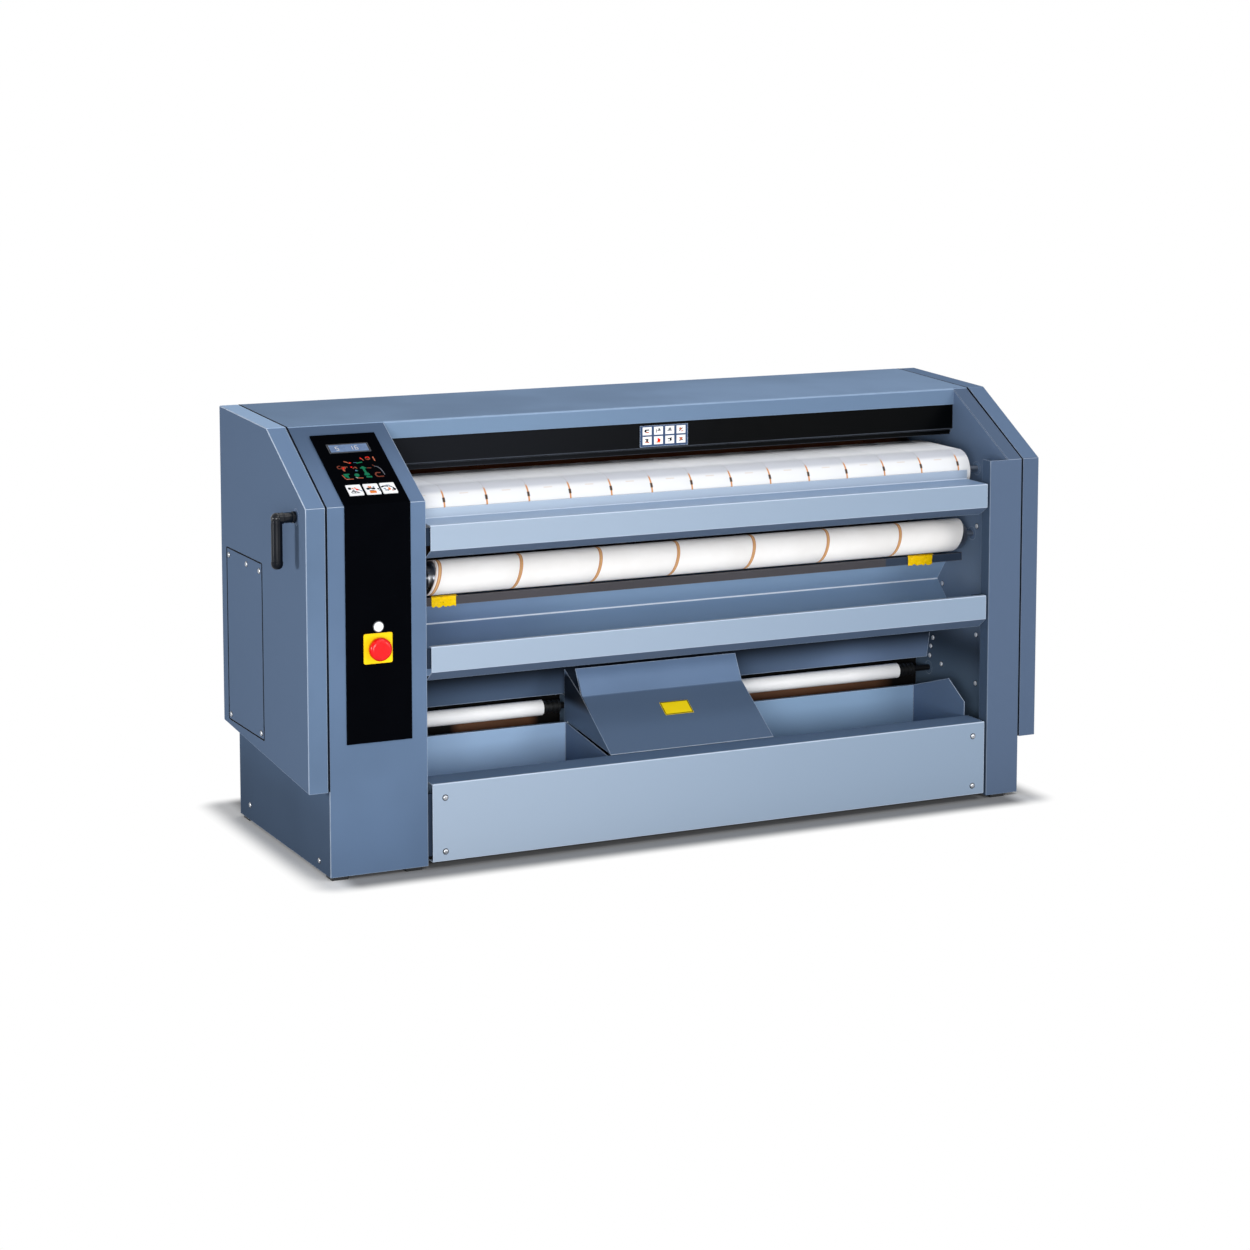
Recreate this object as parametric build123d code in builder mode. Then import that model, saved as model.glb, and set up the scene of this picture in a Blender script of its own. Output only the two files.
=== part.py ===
from build123d import *
import math
import os

# Flatwork ironer with a heated cylinder, a belted feed table and a front linen trough.
# Machine coordinates: X to the right from the left column's outer face, Y to the back
# from the columns' front faces, Z up from the floor. finish() moves every piece so that
# the origin is the bottom centre of the whole machine.

os.makedirs("parts", exist_ok=True)

# ---- driving dimensions, in millimetres ----
machine_length = 2000
left_column_width = 260
side_plate_x = 1956
post_inner_x = 1899
foot_height = 8
front_height = 932
fold_y = 285
fold_height = 1097
rear_y = 662
rear_height = 1113
base_rear_y = 700
base_step_height = 300
sheet = 3
thin_sheet = 2
hood_sheet = 2.5
cover_gap = 4
cover_depth = 50
plate_thickness = 4
bend_radius = 4
tight_bend_radius = 3
casing_edge_radius = 2.5

cylinder_radius = 125
cylinder_centre = (500, 815)
feed_nose_radius = 57
feed_nose_centre = (160, 888)
feed_rear_radius = 20
feed_rear_centre = (365, 925)
exit_roller_radius = 42
exit_roller_centre = (180, 704)
entry_roller_radius = 25
entry_roller_centre = (505, 972)
return_roller_radius = 20
upper_return_centre = (620, 1000)
lower_return_centre = (620, 610)
guide_roller_radius = 21
guide_roller_centre = (400, 284)
belt_thickness = 2.5
belt_clearance = 0.3
journal_radius = 8
bore_clearance = 0.05
bush_radius = 18
roller_wall = 4
roller_end_plate = 10

feed_pitch = 116.2
feed_first_gap_x = 352
feed_left_x = 314
feed_right_x = 1900
feed_gap = 3
ironing_left_x = 350
ironing_right_x = 1900
ironing_pitch = 225
ironing_gap = 1

rail_left_x = 269
rail_right_x = 1886
rail_front_y = -8
panel_top = 217
flange_rear_y = 80
trough_rear_y = 354
trough_floor = 60
tray_left_x = 803
tray_right_x = 1282

control_left_x = 46
control_right_x = 218
control_bottom = 339
control_length = 284
control_thickness = 3
key_centres_x = (91.5, 136.5, 180)
key_width = 38
key_along = 41
key_middle = 56
key_thickness = 3.2
key_travel = 1.2
key_clearance = 0.3
key_stem_radius = 5
key_stem_depth = 8
switch_hole_radius = 11.5
estop_centre = (129, 575)
estop_travel = 5
lamp_centre = (130, 629)

crank_centre = (68, 904)
crank_reach = 50
crank_length = 126
grip_radius = 14

screw_head_radius = 5.5
screw_head_height = 2.6
screw_shank_radius = 3
screw_shank_length = 9

# ---- derived positions ----
left_plate_x = left_column_width - plate_thickness
cover_left_x = -cover_gap - cover_depth
cover_right_x = machine_length + cover_gap + cover_depth
front_limit_y = -33
left_limit_x = cover_left_x - crank_reach - grip_radius
centre_x = (left_limit_x + cover_right_x) / 2
centre_y = (front_limit_y + base_rear_y) / 2
incline = math.hypot(fold_y, fold_height - front_height)
incline_y = fold_y / incline
incline_z = (fold_height - front_height) / incline
incline_normal = (0, -incline_z, incline_y)
key_rest = key_travel + 0.4


# ---- helpers ----
def finish(piece, name):
    """Moves one finished piece to the shared origin, labels it and writes it."""
    placed = piece.moved(Location((-centre_x, -centre_y, 0)))
    placed.label = name
    export_step(placed, f"parts/{name}.step")


def prism_x(outline, x_start, x_end, mode=Mode.ADD):
    """A bar along X whose section is the outline of (y, z) points."""
    with BuildSketch(Plane.YZ.offset(x_start)) as section:
        with BuildLine():
            Polyline(*outline, close=True)
        make_face()
    extrude(section.sketch, amount=x_end - x_start, mode=mode)


def prism_z(outline, z_start, z_end, mode=Mode.ADD):
    """A bar along Z whose section is the outline of (x, y) points."""
    with BuildSketch(Plane.XY.offset(z_start)) as section:
        with BuildLine():
            Polyline(*outline, close=True)
        make_face()
    extrude(section.sketch, amount=z_end - z_start, mode=mode)


def block(x_range, y_range, z_range, mode=Mode.ADD):
    """A box between the given limits."""
    corners = [
        (y_range[0], z_range[0]),
        (y_range[1], z_range[0]),
        (y_range[1], z_range[1]),
        (y_range[0], z_range[1]),
    ]
    prism_x(corners, x_range[0], x_range[1], mode)


def disc_x(radius, centre, x_start, x_end, mode=Mode.ADD):
    """A cylinder along X at centre (y, z)."""
    with BuildSketch(Plane.YZ.offset(x_start)) as section:
        with Locations(centre):
            Circle(radius)
    extrude(section.sketch, amount=x_end - x_start, mode=mode)


def disc_y(radius, centre, y_start, y_end, mode=Mode.ADD):
    """A cylinder along Y at centre (x, z)."""
    with BuildSketch(Plane.XZ.offset(-y_start)) as section:
        with Locations(centre):
            Circle(radius)
    extrude(section.sketch, amount=y_start - y_end, mode=mode)


def shifted(points, distance):
    """The points of an open or closed line moved to its left by a distance, with mitred corners."""
    closed = points[0] == points[-1]
    corners = points[:-1] if closed else points
    count = len(corners)
    moved = []
    for index, (px, py) in enumerate(corners):
        before = corners[index - 1] if index or closed else None
        after = corners[(index + 1) % count] if index < count - 1 or closed else None
        normals = []
        for start, end in ((before, (px, py)), ((px, py), after)):
            if start is None or end is None:
                continue
            dx = end[0] - start[0]
            dy = end[1] - start[1]
            length = math.hypot(dx, dy)
            normals.append((-dy / length, dx / length))
        nx = sum(n[0] for n in normals) / len(normals)
        ny = sum(n[1] for n in normals) / len(normals)
        scale = distance / (nx * nx + ny * ny)
        moved.append((px + nx * scale, py + ny * scale))
    return moved


def bent_sheet(points, thickness, bend, x_start, x_end):
    """A sheet folded along X with rounded bends: one face is on the (y, z) points.

    A positive thickness lies to the left of the points, a negative one to their right."""
    with BuildSketch(Plane.YZ.offset(x_start)) as section:
        with BuildLine():
            FilletPolyline(*points, radius=bend)
            offset(amount=abs(thickness), side=Side.LEFT if thickness > 0 else Side.RIGHT)
        make_face()
    extrude(section.sketch, amount=x_end - x_start)


def front_edges(casing):
    """The upright and sloping edges of a casing's front, and the fold between them."""
    chosen = []
    for edge in casing.edges():
        middle = edge.center()
        upright = middle.Y < 1 and middle.Z > foot_height + 1
        sloping = 1 < middle.Y < fold_y - 1 and middle.Z > front_height
        if upright or sloping:
            chosen.append(edge)
    return ShapeList(chosen)


def cover_edges(cover, outer_x):
    """The rim of a cover's outer face and the folds across its top."""
    chosen = []
    for edge in cover.edges():
        middle = edge.center()
        on_outer_face = abs(middle.X - outer_x) < 1
        fold = abs(edge.length - cover_depth) < 1 and middle.Z > front_height - 1
        if on_outer_face or fold:
            chosen.append(edge)
    return ShapeList(chosen)


def on_incline(along, height=0):
    """The (y, z) point a distance up the sloping front, and a height off its face."""
    return (
        along * incline_y - height * incline_z,
        front_height + along * incline_z + height * incline_y,
    )


def incline_plane(x, along, height):
    """A plane on the sloping front at a height off its face."""
    return Plane((x, *on_incline(along, height)), (1, 0, 0), incline_normal)


def hull_pair(centre_a, radius_a, centre_b, radius_b, x_start, x_end, mode=Mode.ADD):
    """A bar along X whose section is two circles with a tight band round them."""
    with BuildSketch(Plane.YZ.offset(x_start)) as section:
        with Locations(centre_a):
            Circle(radius_a)
        with Locations(centre_b):
            Circle(radius_b)
        make_hull()
    extrude(section.sketch, amount=x_end - x_start, mode=mode)


# ---- side outline shared by columns, covers and plates ----
side_outline = [
    (0, foot_height),
    (base_rear_y, foot_height),
    (base_rear_y, base_step_height),
    (rear_y, base_step_height),
    (rear_y, rear_height - hood_sheet),
    (fold_y, fold_height - hood_sheet),
    (0, front_height),
]
inner_outline = shifted(side_outline + side_outline[:1], sheet)

# Screw places: (y, z) on the side plates, the column's outer side and the access panel,
# and (x, z) on the front panel.
plate_screws = [
    (154, 727),
    (331, 538),
    (150, 423),
    (331, 306),
    (150, 286),
    (377, 374),
    (388, 348),
    (393, 320),
]
column_screws = [(617, 49), (80, 33)]
access_screws = [(598, 728), (456, 726), (354, 724), (598, 304), (354, 304)]
panel_screws = [(303, 180), (303, 42), (1850, 180), (1850, 42)]

roller_centres = [
    feed_nose_centre,
    feed_rear_centre,
    exit_roller_centre,
    entry_roller_centre,
    upper_return_centre,
    lower_return_centre,
    guide_roller_centre,
]
guard_pivot = (302, 976)
guard_pin_radius = 4
cylinder_journal_radius = 50
cylinder_bush_radius = 62


def bore_side_plate():
    """The holes that both side plates share: bushes, guard pins and screws."""
    for centre in roller_centres:
        disc_x(bush_radius, centre, 0, machine_length, Mode.SUBTRACT)
    disc_x(cylinder_bush_radius, cylinder_centre, 0, machine_length, Mode.SUBTRACT)
    disc_x(guard_pin_radius + bore_clearance, guard_pivot, 0, machine_length, Mode.SUBTRACT)
    for centre in plate_screws:
        disc_x(screw_shank_radius, centre, 0, machine_length, Mode.SUBTRACT)


# ---- columns ----
with BuildPart() as left_column:
    prism_x(side_outline, 0, left_column_width)
    fillet(front_edges(left_column), casing_edge_radius)
    prism_x(inner_outline, sheet, left_column_width, Mode.SUBTRACT)
    block((0, sheet), (380, 620), (330, 720), Mode.SUBTRACT)
    for centre in column_screws:
        disc_x(screw_shank_radius, centre, 0, sheet, Mode.SUBTRACT)
    disc_x(16, crank_centre, 0, sheet, Mode.SUBTRACT)
    disc_y(switch_hole_radius, estop_centre, 0, sheet, Mode.SUBTRACT)
    disc_y(switch_hole_radius, lamp_centre, 0, sheet, Mode.SUBTRACT)
    for key_x in key_centres_x:
        with BuildSketch(incline_plane(key_x, key_middle, 0)) as stem_hole:
            Circle(key_stem_radius + bore_clearance)
        extrude(stem_hole.sketch, amount=10, both=True, mode=Mode.SUBTRACT)
finish(left_column.part, "left_column")

with BuildPart() as left_side_plate:
    prism_x(inner_outline, left_plate_x, left_column_width)
    bore_side_plate()
finish(left_side_plate.part, "left_side_plate")

# The right column is a shallow channel; its front face runs inward as a post.
with BuildPart() as right_column:
    prism_x(side_outline, side_plate_x, machine_length)
    free_edges = [edge for edge in front_edges(right_column) if edge.center().X > side_plate_x + 1]
    fillet(free_edges, casing_edge_radius)
    block((post_inner_x, side_plate_x), (0, 40), (foot_height, front_height))
    post_edges = right_column.edges().filter_by(Axis.Z).group_by(Axis.X)[0].sort_by(Axis.Y)
    fillet(post_edges[0], casing_edge_radius)
    block((post_inner_x + sheet, side_plate_x), (sheet, 40), (foot_height, front_height), Mode.SUBTRACT)
    prism_x(inner_outline, side_plate_x, machine_length - sheet, Mode.SUBTRACT)
    block((post_inner_x, side_plate_x), (0, 45), (foot_height, foot_height + sheet))
finish(right_column.part, "right_column")

with BuildPart() as right_side_plate:
    prism_x(inner_outline, side_plate_x, side_plate_x + plate_thickness)
    bore_side_plate()
finish(right_side_plate.part, "right_side_plate")

# ---- side covers: shells that hang on four welded studs off the columns ----
cover_studs = [(60, 420), (60, 860), (645, 420), (610, 1040)]
cover_top = [(rear_y, rear_height), (fold_y, fold_height), (0, front_height)]
left_cover_outline = [(0, 224), (rear_y, 276)] + cover_top
right_cover_outline = [(0, 163), (rear_y, 163)] + cover_top
access_y = (335, 616)
access_z = (290, 745)
access_slit = 1.5

with BuildPart() as left_side_cover:
    prism_x(left_cover_outline, cover_left_x, -cover_gap)
    fillet(cover_edges(left_side_cover, cover_left_x), casing_edge_radius)
    hollow = shifted(left_cover_outline + left_cover_outline[:1], thin_sheet)
    prism_x(hollow, cover_left_x + thin_sheet, -cover_gap, Mode.SUBTRACT)
    block(
        (cover_left_x, cover_left_x + thin_sheet),
        (access_y[0] - access_slit, access_y[1] + access_slit),
        (access_z[0] - access_slit, access_z[1] + access_slit),
        Mode.SUBTRACT,
    )
    for centre in cover_studs:
        disc_x(6, centre, cover_left_x + thin_sheet, 0)
    disc_x(20, crank_centre, cover_left_x, cover_left_x + thin_sheet, Mode.SUBTRACT)
finish(left_side_cover.part, "left_side_cover")

with BuildPart() as right_side_cover:
    prism_x(right_cover_outline, machine_length + cover_gap, cover_right_x)
    fillet(cover_edges(right_side_cover, cover_right_x), casing_edge_radius)
    hollow = shifted(right_cover_outline + right_cover_outline[:1], thin_sheet)
    prism_x(hollow, machine_length + cover_gap, cover_right_x - thin_sheet, Mode.SUBTRACT)
    for centre in cover_studs:
        disc_x(6, centre, machine_length, cover_right_x - thin_sheet)
finish(right_side_cover.part, "right_side_cover")

# The access panel lies flush in the left cover; its wider back rests on the cover's inside.
access_lip = 12
with BuildPart() as access_panel:
    block((cover_left_x, cover_left_x + thin_sheet), access_y, access_z)
    block(
        (cover_left_x + thin_sheet, cover_left_x + 2 * thin_sheet),
        (access_y[0] - access_lip, access_y[1] + access_lip),
        (access_z[0] - access_lip, access_z[1] + access_lip),
    )
    for centre in access_screws:
        disc_x(screw_shank_radius, centre, cover_left_x, cover_left_x + 2 * thin_sheet, Mode.SUBTRACT)
finish(access_panel.part, "access_panel")

# ---- hood, rear panel and black fascia ----
hood_front_bottom = 1052
hood_edge_radius = 6
with BuildPart() as hood:
    hood_line = [
        (rear_y, rear_height),
        (fold_y, fold_height),
        (fold_y, hood_front_bottom),
    ]
    bent_sheet(hood_line, hood_sheet, hood_edge_radius, left_column_width, side_plate_x)
    cap = [
        (fold_y, fold_height - hood_sheet),
        (rear_y, rear_height - hood_sheet),
        (rear_y, rear_height),
        (fold_y, fold_height),
    ]
    prism_x(cap, 0, left_column_width)
    prism_x(cap, side_plate_x, machine_length)
    block((left_column_width, side_plate_x), (rear_y - hood_sheet, rear_y), (1070, rear_height - hood_sheet))
finish(hood.part, "hood")

vent_length = 90
vent_height = 6
rear_line = [
    (rear_y - sheet, 1096),
    (rear_y - sheet, base_step_height - sheet),
    (base_rear_y - sheet, base_step_height - sheet),
    (base_rear_y - sheet, trough_floor),
]
with BuildPart() as rear_panel:
    bent_sheet(rear_line, -hood_sheet, bend_radius, left_column_width, side_plate_x)
    with BuildSketch(Plane.XZ.offset(-rear_y)) as vents:
        for height in (1000, 1020, 1040, 420, 400, 380):
            with Locations((1108, height)):
                with GridLocations(150, 1, 10, 1):
                    Rectangle(vent_length, vent_height)
    extrude(vents.sketch, amount=20, mode=Mode.SUBTRACT)
finish(rear_panel.part, "rear_panel")

fascia_y = 288
fascia_bottom = 982
fascia_lip_y = 320
with BuildPart() as fascia_panel:
    fascia_line = [(fascia_y, 1088), (fascia_y, fascia_bottom), (fascia_lip_y, fascia_bottom)]
    bent_sheet(fascia_line, thin_sheet, bend_radius, left_column_width, side_plate_x)
finish(fascia_panel.part, "fascia_panel")

# The finger guard hangs under the fascia on a pin at each end and swings inward.
guard_end_gap = 3
with BuildPart() as finger_guard:
    block(
        (left_column_width + guard_end_gap, side_plate_x - guard_end_gap),
        (guard_pivot[0] - 4, guard_pivot[0] + 4),
        (guard_pivot[1] - 9, guard_pivot[1] + 4),
    )
    disc_x(guard_pin_radius, guard_pivot, left_plate_x, left_column_width + guard_end_gap)
    disc_x(guard_pin_radius, guard_pivot, side_plate_x - guard_end_gap, side_plate_x + plate_thickness)
finish(finger_guard.part, "finger_guard")

with BuildPart() as pictogram_plate:
    block((986, 1128), (fascia_y - 1.2, fascia_y), (987, 1044))
finish(pictogram_plate.part, "pictogram_plate")

# ---- control panel, bent over the sloping front ----
with BuildPart() as control_panel:
    panel_line = [(0, control_bottom), (0, front_height), on_incline(control_length)]
    bent_sheet(panel_line, control_thickness, casing_edge_radius, control_left_x, control_right_x)
    disc_y(switch_hole_radius, estop_centre, -control_thickness, 0, Mode.SUBTRACT)
    disc_y(switch_hole_radius, lamp_centre, -control_thickness, 0, Mode.SUBTRACT)
    for key_x in key_centres_x:
        with BuildSketch(incline_plane(key_x, key_middle, 0)) as window:
            Rectangle(key_width + 2 * key_clearance, key_along + 2 * key_clearance)
        extrude(window.sketch, amount=control_thickness + 1, mode=Mode.SUBTRACT)
finish(control_panel.part, "control_panel")

with BuildPart() as display_window:
    with BuildSketch(incline_plane(130.5, 225, control_thickness)) as glass:
        RectangleRounded(110, 36, 2)
    extrude(glass.sketch, amount=1)
finish(display_window.part, "display_window")

for key_name, key_x in zip(("left_key", "middle_key", "right_key"), key_centres_x):
    with BuildPart() as key:
        with BuildSketch(incline_plane(key_x, key_middle, key_rest)) as cap_face:
            RectangleRounded(key_width, key_along, 2)
        extrude(cap_face.sketch, amount=key_thickness)
        with BuildSketch(incline_plane(key_x, key_middle, -key_stem_depth)) as stem:
            Circle(key_stem_radius)
        extrude(stem.sketch, amount=key_stem_depth + key_rest)
    finish(key.part, key_name)

with BuildPart() as pilot_lamp_collar:
    disc_y(14.4, lamp_centre, -control_thickness - 3, -control_thickness)
    disc_y(switch_hole_radius, lamp_centre, -control_thickness, 24)
    disc_y(11, lamp_centre, -control_thickness - 3, 0, Mode.SUBTRACT)
finish(pilot_lamp_collar.part, "pilot_lamp_collar")

with BuildPart() as pilot_lamp_lens:
    disc_y(11, lamp_centre, -control_thickness - 3, 0)
    disc_y(12.6, lamp_centre, -control_thickness - 7, -control_thickness - 3)
    fillet(pilot_lamp_lens.edges().group_by(Axis.Y)[0], 3.5)
finish(pilot_lamp_lens.part, "pilot_lamp_lens")

estop_stem_radius = 8
with BuildPart() as estop_plate:
    with BuildSketch(Plane.XZ.offset(control_thickness)) as plate_face:
        with Locations(estop_centre):
            RectangleRounded(76, 76, 5)
            Circle(switch_hole_radius, mode=Mode.SUBTRACT)
    extrude(plate_face.sketch, amount=2)
finish(estop_plate.part, "estop_plate")

with BuildPart() as estop_base:
    disc_y(19, estop_centre, -control_thickness - 8, -control_thickness - 2)
    disc_y(switch_hole_radius, estop_centre, -control_thickness - 2, 42)
    disc_y(estop_stem_radius + bore_clearance, estop_centre, -control_thickness - 8, 36, Mode.SUBTRACT)
finish(estop_base.part, "estop_base")

# The mushroom stands off its base by its travel.
estop_head_radius = 29
estop_head_rear = -control_thickness - 8 - estop_travel - 1
with BuildPart() as estop_button:
    disc_y(estop_head_radius, estop_centre, front_limit_y, estop_head_rear)
    fillet(estop_button.edges().group_by(Axis.Y)[0], 10)
    disc_y(estop_stem_radius, estop_centre, estop_head_rear, 28)
finish(estop_button.part, "estop_button")

# ---- hand crank ----
crank_shaft_radius = 8
with BuildPart() as crank_bush:
    disc_x(20, crank_centre, cover_left_x - 1, cover_left_x + thin_sheet)
    disc_x(16, crank_centre, cover_left_x + thin_sheet, sheet)
    disc_x(crank_shaft_radius + bore_clearance, crank_centre, cover_left_x - 1, sheet, Mode.SUBTRACT)
finish(crank_bush.part, "crank_bush")

crank_bend_radius = 17
with BuildPart() as hand_crank:
    arm_start = (cover_left_x - 3, *crank_centre)
    grip_x = cover_left_x - crank_reach
    elbow = (grip_x, *crank_centre)
    grip_end = (grip_x, crank_centre[0], crank_centre[1] - crank_length + grip_radius)
    with BuildLine() as bar_line:
        FilletPolyline(arm_start, elbow, grip_end, radius=crank_bend_radius)
    with BuildSketch(Plane(arm_start, (0, 1, 0), (-1, 0, 0))):
        Circle(grip_radius)
    sweep(path=bar_line.line)
    with Locations(grip_end):
        Sphere(grip_radius)
    disc_x(crank_shaft_radius, crank_centre, cover_left_x - 3, 30)
    disc_x(18, crank_centre, 8, 30)
finish(hand_crank.part, "hand_crank")

# ---- feed table: bed, belts and their two rollers ----
with BuildPart() as feed_bed:
    block((feed_left_x + 4, feed_right_x - 4), (186, 340), (938, 942))
    block((feed_left_x + 4, feed_right_x - 4), (285, 291), (915, 938))
    block((left_column_width, side_plate_x), (262, 318), (897, 915))
finish(feed_bed.part, "feed_bed")

feed_edges = [feed_first_gap_x + feed_pitch * step for step in range(14)]
feed_starts = [feed_left_x] + [edge + feed_gap / 2 for edge in feed_edges[:-1]]
feed_starts.append(feed_edges[-1] + feed_gap / 2)
feed_ends = [edge - feed_gap / 2 for edge in feed_edges] + [feed_right_x]
with BuildPart() as feed_belts:
    for start, end in zip(feed_starts, feed_ends):
        hull_pair(feed_nose_centre, feed_nose_radius, feed_rear_centre, feed_rear_radius, start, end)
        hull_pair(
            feed_nose_centre,
            feed_nose_radius - belt_thickness,
            feed_rear_centre,
            feed_rear_radius - belt_thickness,
            start,
            end,
            Mode.SUBTRACT,
        )
finish(feed_belts.part, "feed_belts")


def tube_body(centre, radius, x_start, x_end):
    """A roller's tube with its two end plates."""
    disc_x(radius, centre, x_start, x_end)
    disc_x(
        radius - roller_wall,
        centre,
        x_start + roller_end_plate,
        x_end - roller_end_plate,
        Mode.SUBTRACT,
    )


def roller(centre, radius, x_start, x_end):
    """A roller on a through shaft whose ends run in the side plates' bushes."""
    tube_body(centre, radius, x_start, x_end)
    disc_x(journal_radius, centre, left_plate_x - 10, side_plate_x + plate_thickness + 10)


with BuildPart() as front_feed_roller:
    nose_tube = feed_nose_radius - belt_thickness - belt_clearance
    roller(feed_nose_centre, nose_tube, feed_left_x - 2, feed_right_x + 2)
finish(front_feed_roller.part, "front_feed_roller")

with BuildPart() as rear_feed_roller:
    rear_tube = feed_rear_radius - belt_thickness - belt_clearance
    roller(feed_rear_centre, rear_tube, feed_left_x - 2, feed_right_x + 2)
finish(rear_feed_roller.part, "rear_feed_roller")

# ---- heated cylinder on hollow journals, with its fixed heater bundle ----
cylinder_left_x = 310
cylinder_right_x = 1920
cylinder_wall = 8
with BuildPart() as ironing_cylinder:
    disc_x(cylinder_radius, cylinder_centre, cylinder_left_x, cylinder_right_x)
    disc_x(
        cylinder_radius - cylinder_wall,
        cylinder_centre,
        cylinder_left_x + 10,
        cylinder_right_x - 10,
        Mode.SUBTRACT,
    )
    disc_x(cylinder_journal_radius, cylinder_centre, 190, cylinder_left_x + 10)
    disc_x(cylinder_journal_radius, cylinder_centre, cylinder_right_x - 10, side_plate_x + 24)
    disc_x(cylinder_journal_radius - 8, cylinder_centre, 190, side_plate_x + 24, Mode.SUBTRACT)
finish(ironing_cylinder.part, "ironing_cylinder")

with BuildPart() as cylinder_bearings:
    for inner_x, outer_x in ((left_column_width, left_plate_x - 22), (side_plate_x, side_plate_x + 22)):
        step = math.copysign(1, outer_x - inner_x)
        disc_x(cylinder_bush_radius, cylinder_centre, inner_x, inner_x + step * plate_thickness)
        disc_x(78, cylinder_centre, inner_x + step * plate_thickness, outer_x)
        disc_x(
            cylinder_journal_radius + bore_clearance,
            cylinder_centre,
            inner_x,
            outer_x,
            Mode.SUBTRACT,
        )
finish(cylinder_bearings.part, "cylinder_bearings")

heater_rods = 6
heater_rod_circle = 26
with BuildPart() as heater_bundle:
    disc_x(12, cylinder_centre, sheet, machine_length - sheet)
    for spider_x in (180, 700, 1300, 1966):
        disc_x(36, cylinder_centre, spider_x, spider_x + 6)
    for index in range(heater_rods):
        angle = math.radians(360 / heater_rods * index)
        rod_centre = (
            cylinder_centre[0] + heater_rod_circle * math.cos(angle),
            cylinder_centre[1] + heater_rod_circle * math.sin(angle),
        )
        disc_x(5, rod_centre, 170, 1980)
finish(heater_bundle.part, "heater_bundle")

# ---- ironing belts: one closed path past four rollers and round the cylinder ----
belt_circles = [
    (exit_roller_centre, exit_roller_radius, 1),
    (lower_return_centre, return_roller_radius, 1),
    (upper_return_centre, return_roller_radius, 1),
    (entry_roller_centre, entry_roller_radius, 1),
    (cylinder_centre, cylinder_radius, -1),
]


def belt_path(lift):
    """Tangent points and arc middles of the belt face that lies a lift off the rollers.

    The belt passes the rollers anticlockwise and the cylinder clockwise, so the cylinder
    presses on its other face."""
    rounds = []
    for centre, radius, turn in belt_circles:
        gap = belt_clearance + lift if turn > 0 else belt_clearance + belt_thickness - lift
        rounds.append((centre, turn * (radius + gap)))
    leaving = []
    arriving = []
    for index, (centre, radius) in enumerate(rounds):
        after, after_radius = rounds[(index + 1) % len(rounds)]
        dx = after[0] - centre[0]
        dy = after[1] - centre[1]
        swing = math.acos((after_radius - radius) / math.hypot(dx, dy))
        normal = math.atan2(dy, dx) + swing
        nx = math.cos(normal)
        ny = math.sin(normal)
        leaving.append((centre[0] - radius * nx, centre[1] - radius * ny))
        arriving.append((after[0] - after_radius * nx, after[1] - after_radius * ny))
    path = []
    for index, (centre, radius) in enumerate(rounds):
        start = arriving[index - 1]
        end = leaving[index]
        first = math.atan2(start[1] - centre[1], start[0] - centre[0])
        last = math.atan2(end[1] - centre[1], end[0] - centre[0])
        sweep = (last - first) % (2 * math.pi)
        if radius < 0:
            sweep -= 2 * math.pi
        middle = first + sweep / 2
        size = abs(radius)
        path.append((start, (centre[0] + size * math.cos(middle), centre[1] + size * math.sin(middle)), end))
    return path


def belt_section(plane, lift):
    """The face inside one side of the belt's closed path."""
    path = belt_path(lift)
    with BuildSketch(plane) as section:
        with BuildLine():
            for index, (start, middle, end) in enumerate(path):
                ThreePointArc(start, middle, end)
                Line(end, path[(index + 1) % len(path)][0])
        make_face()
    return section.sketch


ironing_starts = [ironing_left_x + ironing_pitch * step for step in range(7)]
ironing_ends = [start + ironing_pitch - ironing_gap for start in ironing_starts[:-1]] + [ironing_right_x]
with BuildPart() as ironing_belts:
    for start, end in zip(ironing_starts, ironing_ends):
        belt_plane = Plane.YZ.offset(start)
        extrude(belt_section(belt_plane, belt_thickness), amount=end - start)
        extrude(belt_section(belt_plane, 0), amount=end - start, mode=Mode.SUBTRACT)
finish(ironing_belts.part, "ironing_belts")

# ---- the rollers inside the ironing belts ----
rim_left_x = ironing_left_x - 10
rim_right_x = ironing_right_x + 9
with BuildPart() as exit_roller:
    roller(exit_roller_centre, exit_roller_radius, rim_left_x, rim_right_x)
    disc_x(30, exit_roller_centre, rim_right_x, rim_right_x + 14)
    disc_x(30, exit_roller_centre, rim_left_x - 14, rim_left_x)
finish(exit_roller.part, "exit_roller")

for roller_name, centre, radius in (
    ("entry_roller", entry_roller_centre, entry_roller_radius),
    ("upper_return_roller", upper_return_centre, return_roller_radius),
    ("lower_return_roller", lower_return_centre, return_roller_radius),
):
    with BuildPart() as belt_roller:
        roller(centre, radius, rim_left_x, rim_right_x)
    finish(belt_roller.part, roller_name)

# One flanged bush pattern serves every small roller: the flange is behind the side plate.
with BuildPart() as roller_bushes:
    for centre in roller_centres:
        for inner_x, outer_x in ((left_column_width, left_plate_x - 6), (side_plate_x, side_plate_x + 10)):
            step = math.copysign(1, outer_x - inner_x)
            disc_x(bush_radius, centre, inner_x, inner_x + step * plate_thickness)
            disc_x(bush_radius + 4, centre, inner_x + step * plate_thickness, outer_x)
            disc_x(journal_radius + bore_clearance, centre, inner_x, outer_x, Mode.SUBTRACT)
finish(roller_bushes.part, "roller_bushes")

# ---- scraper, exit chute and lower shroud ----
scraper_y = (230, 242)
scraper_z = (620, 642)
with BuildPart() as scraper_beam:
    block((left_column_width, side_plate_x), scraper_y, scraper_z)
finish(scraper_beam.part, "scraper_beam")

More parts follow.
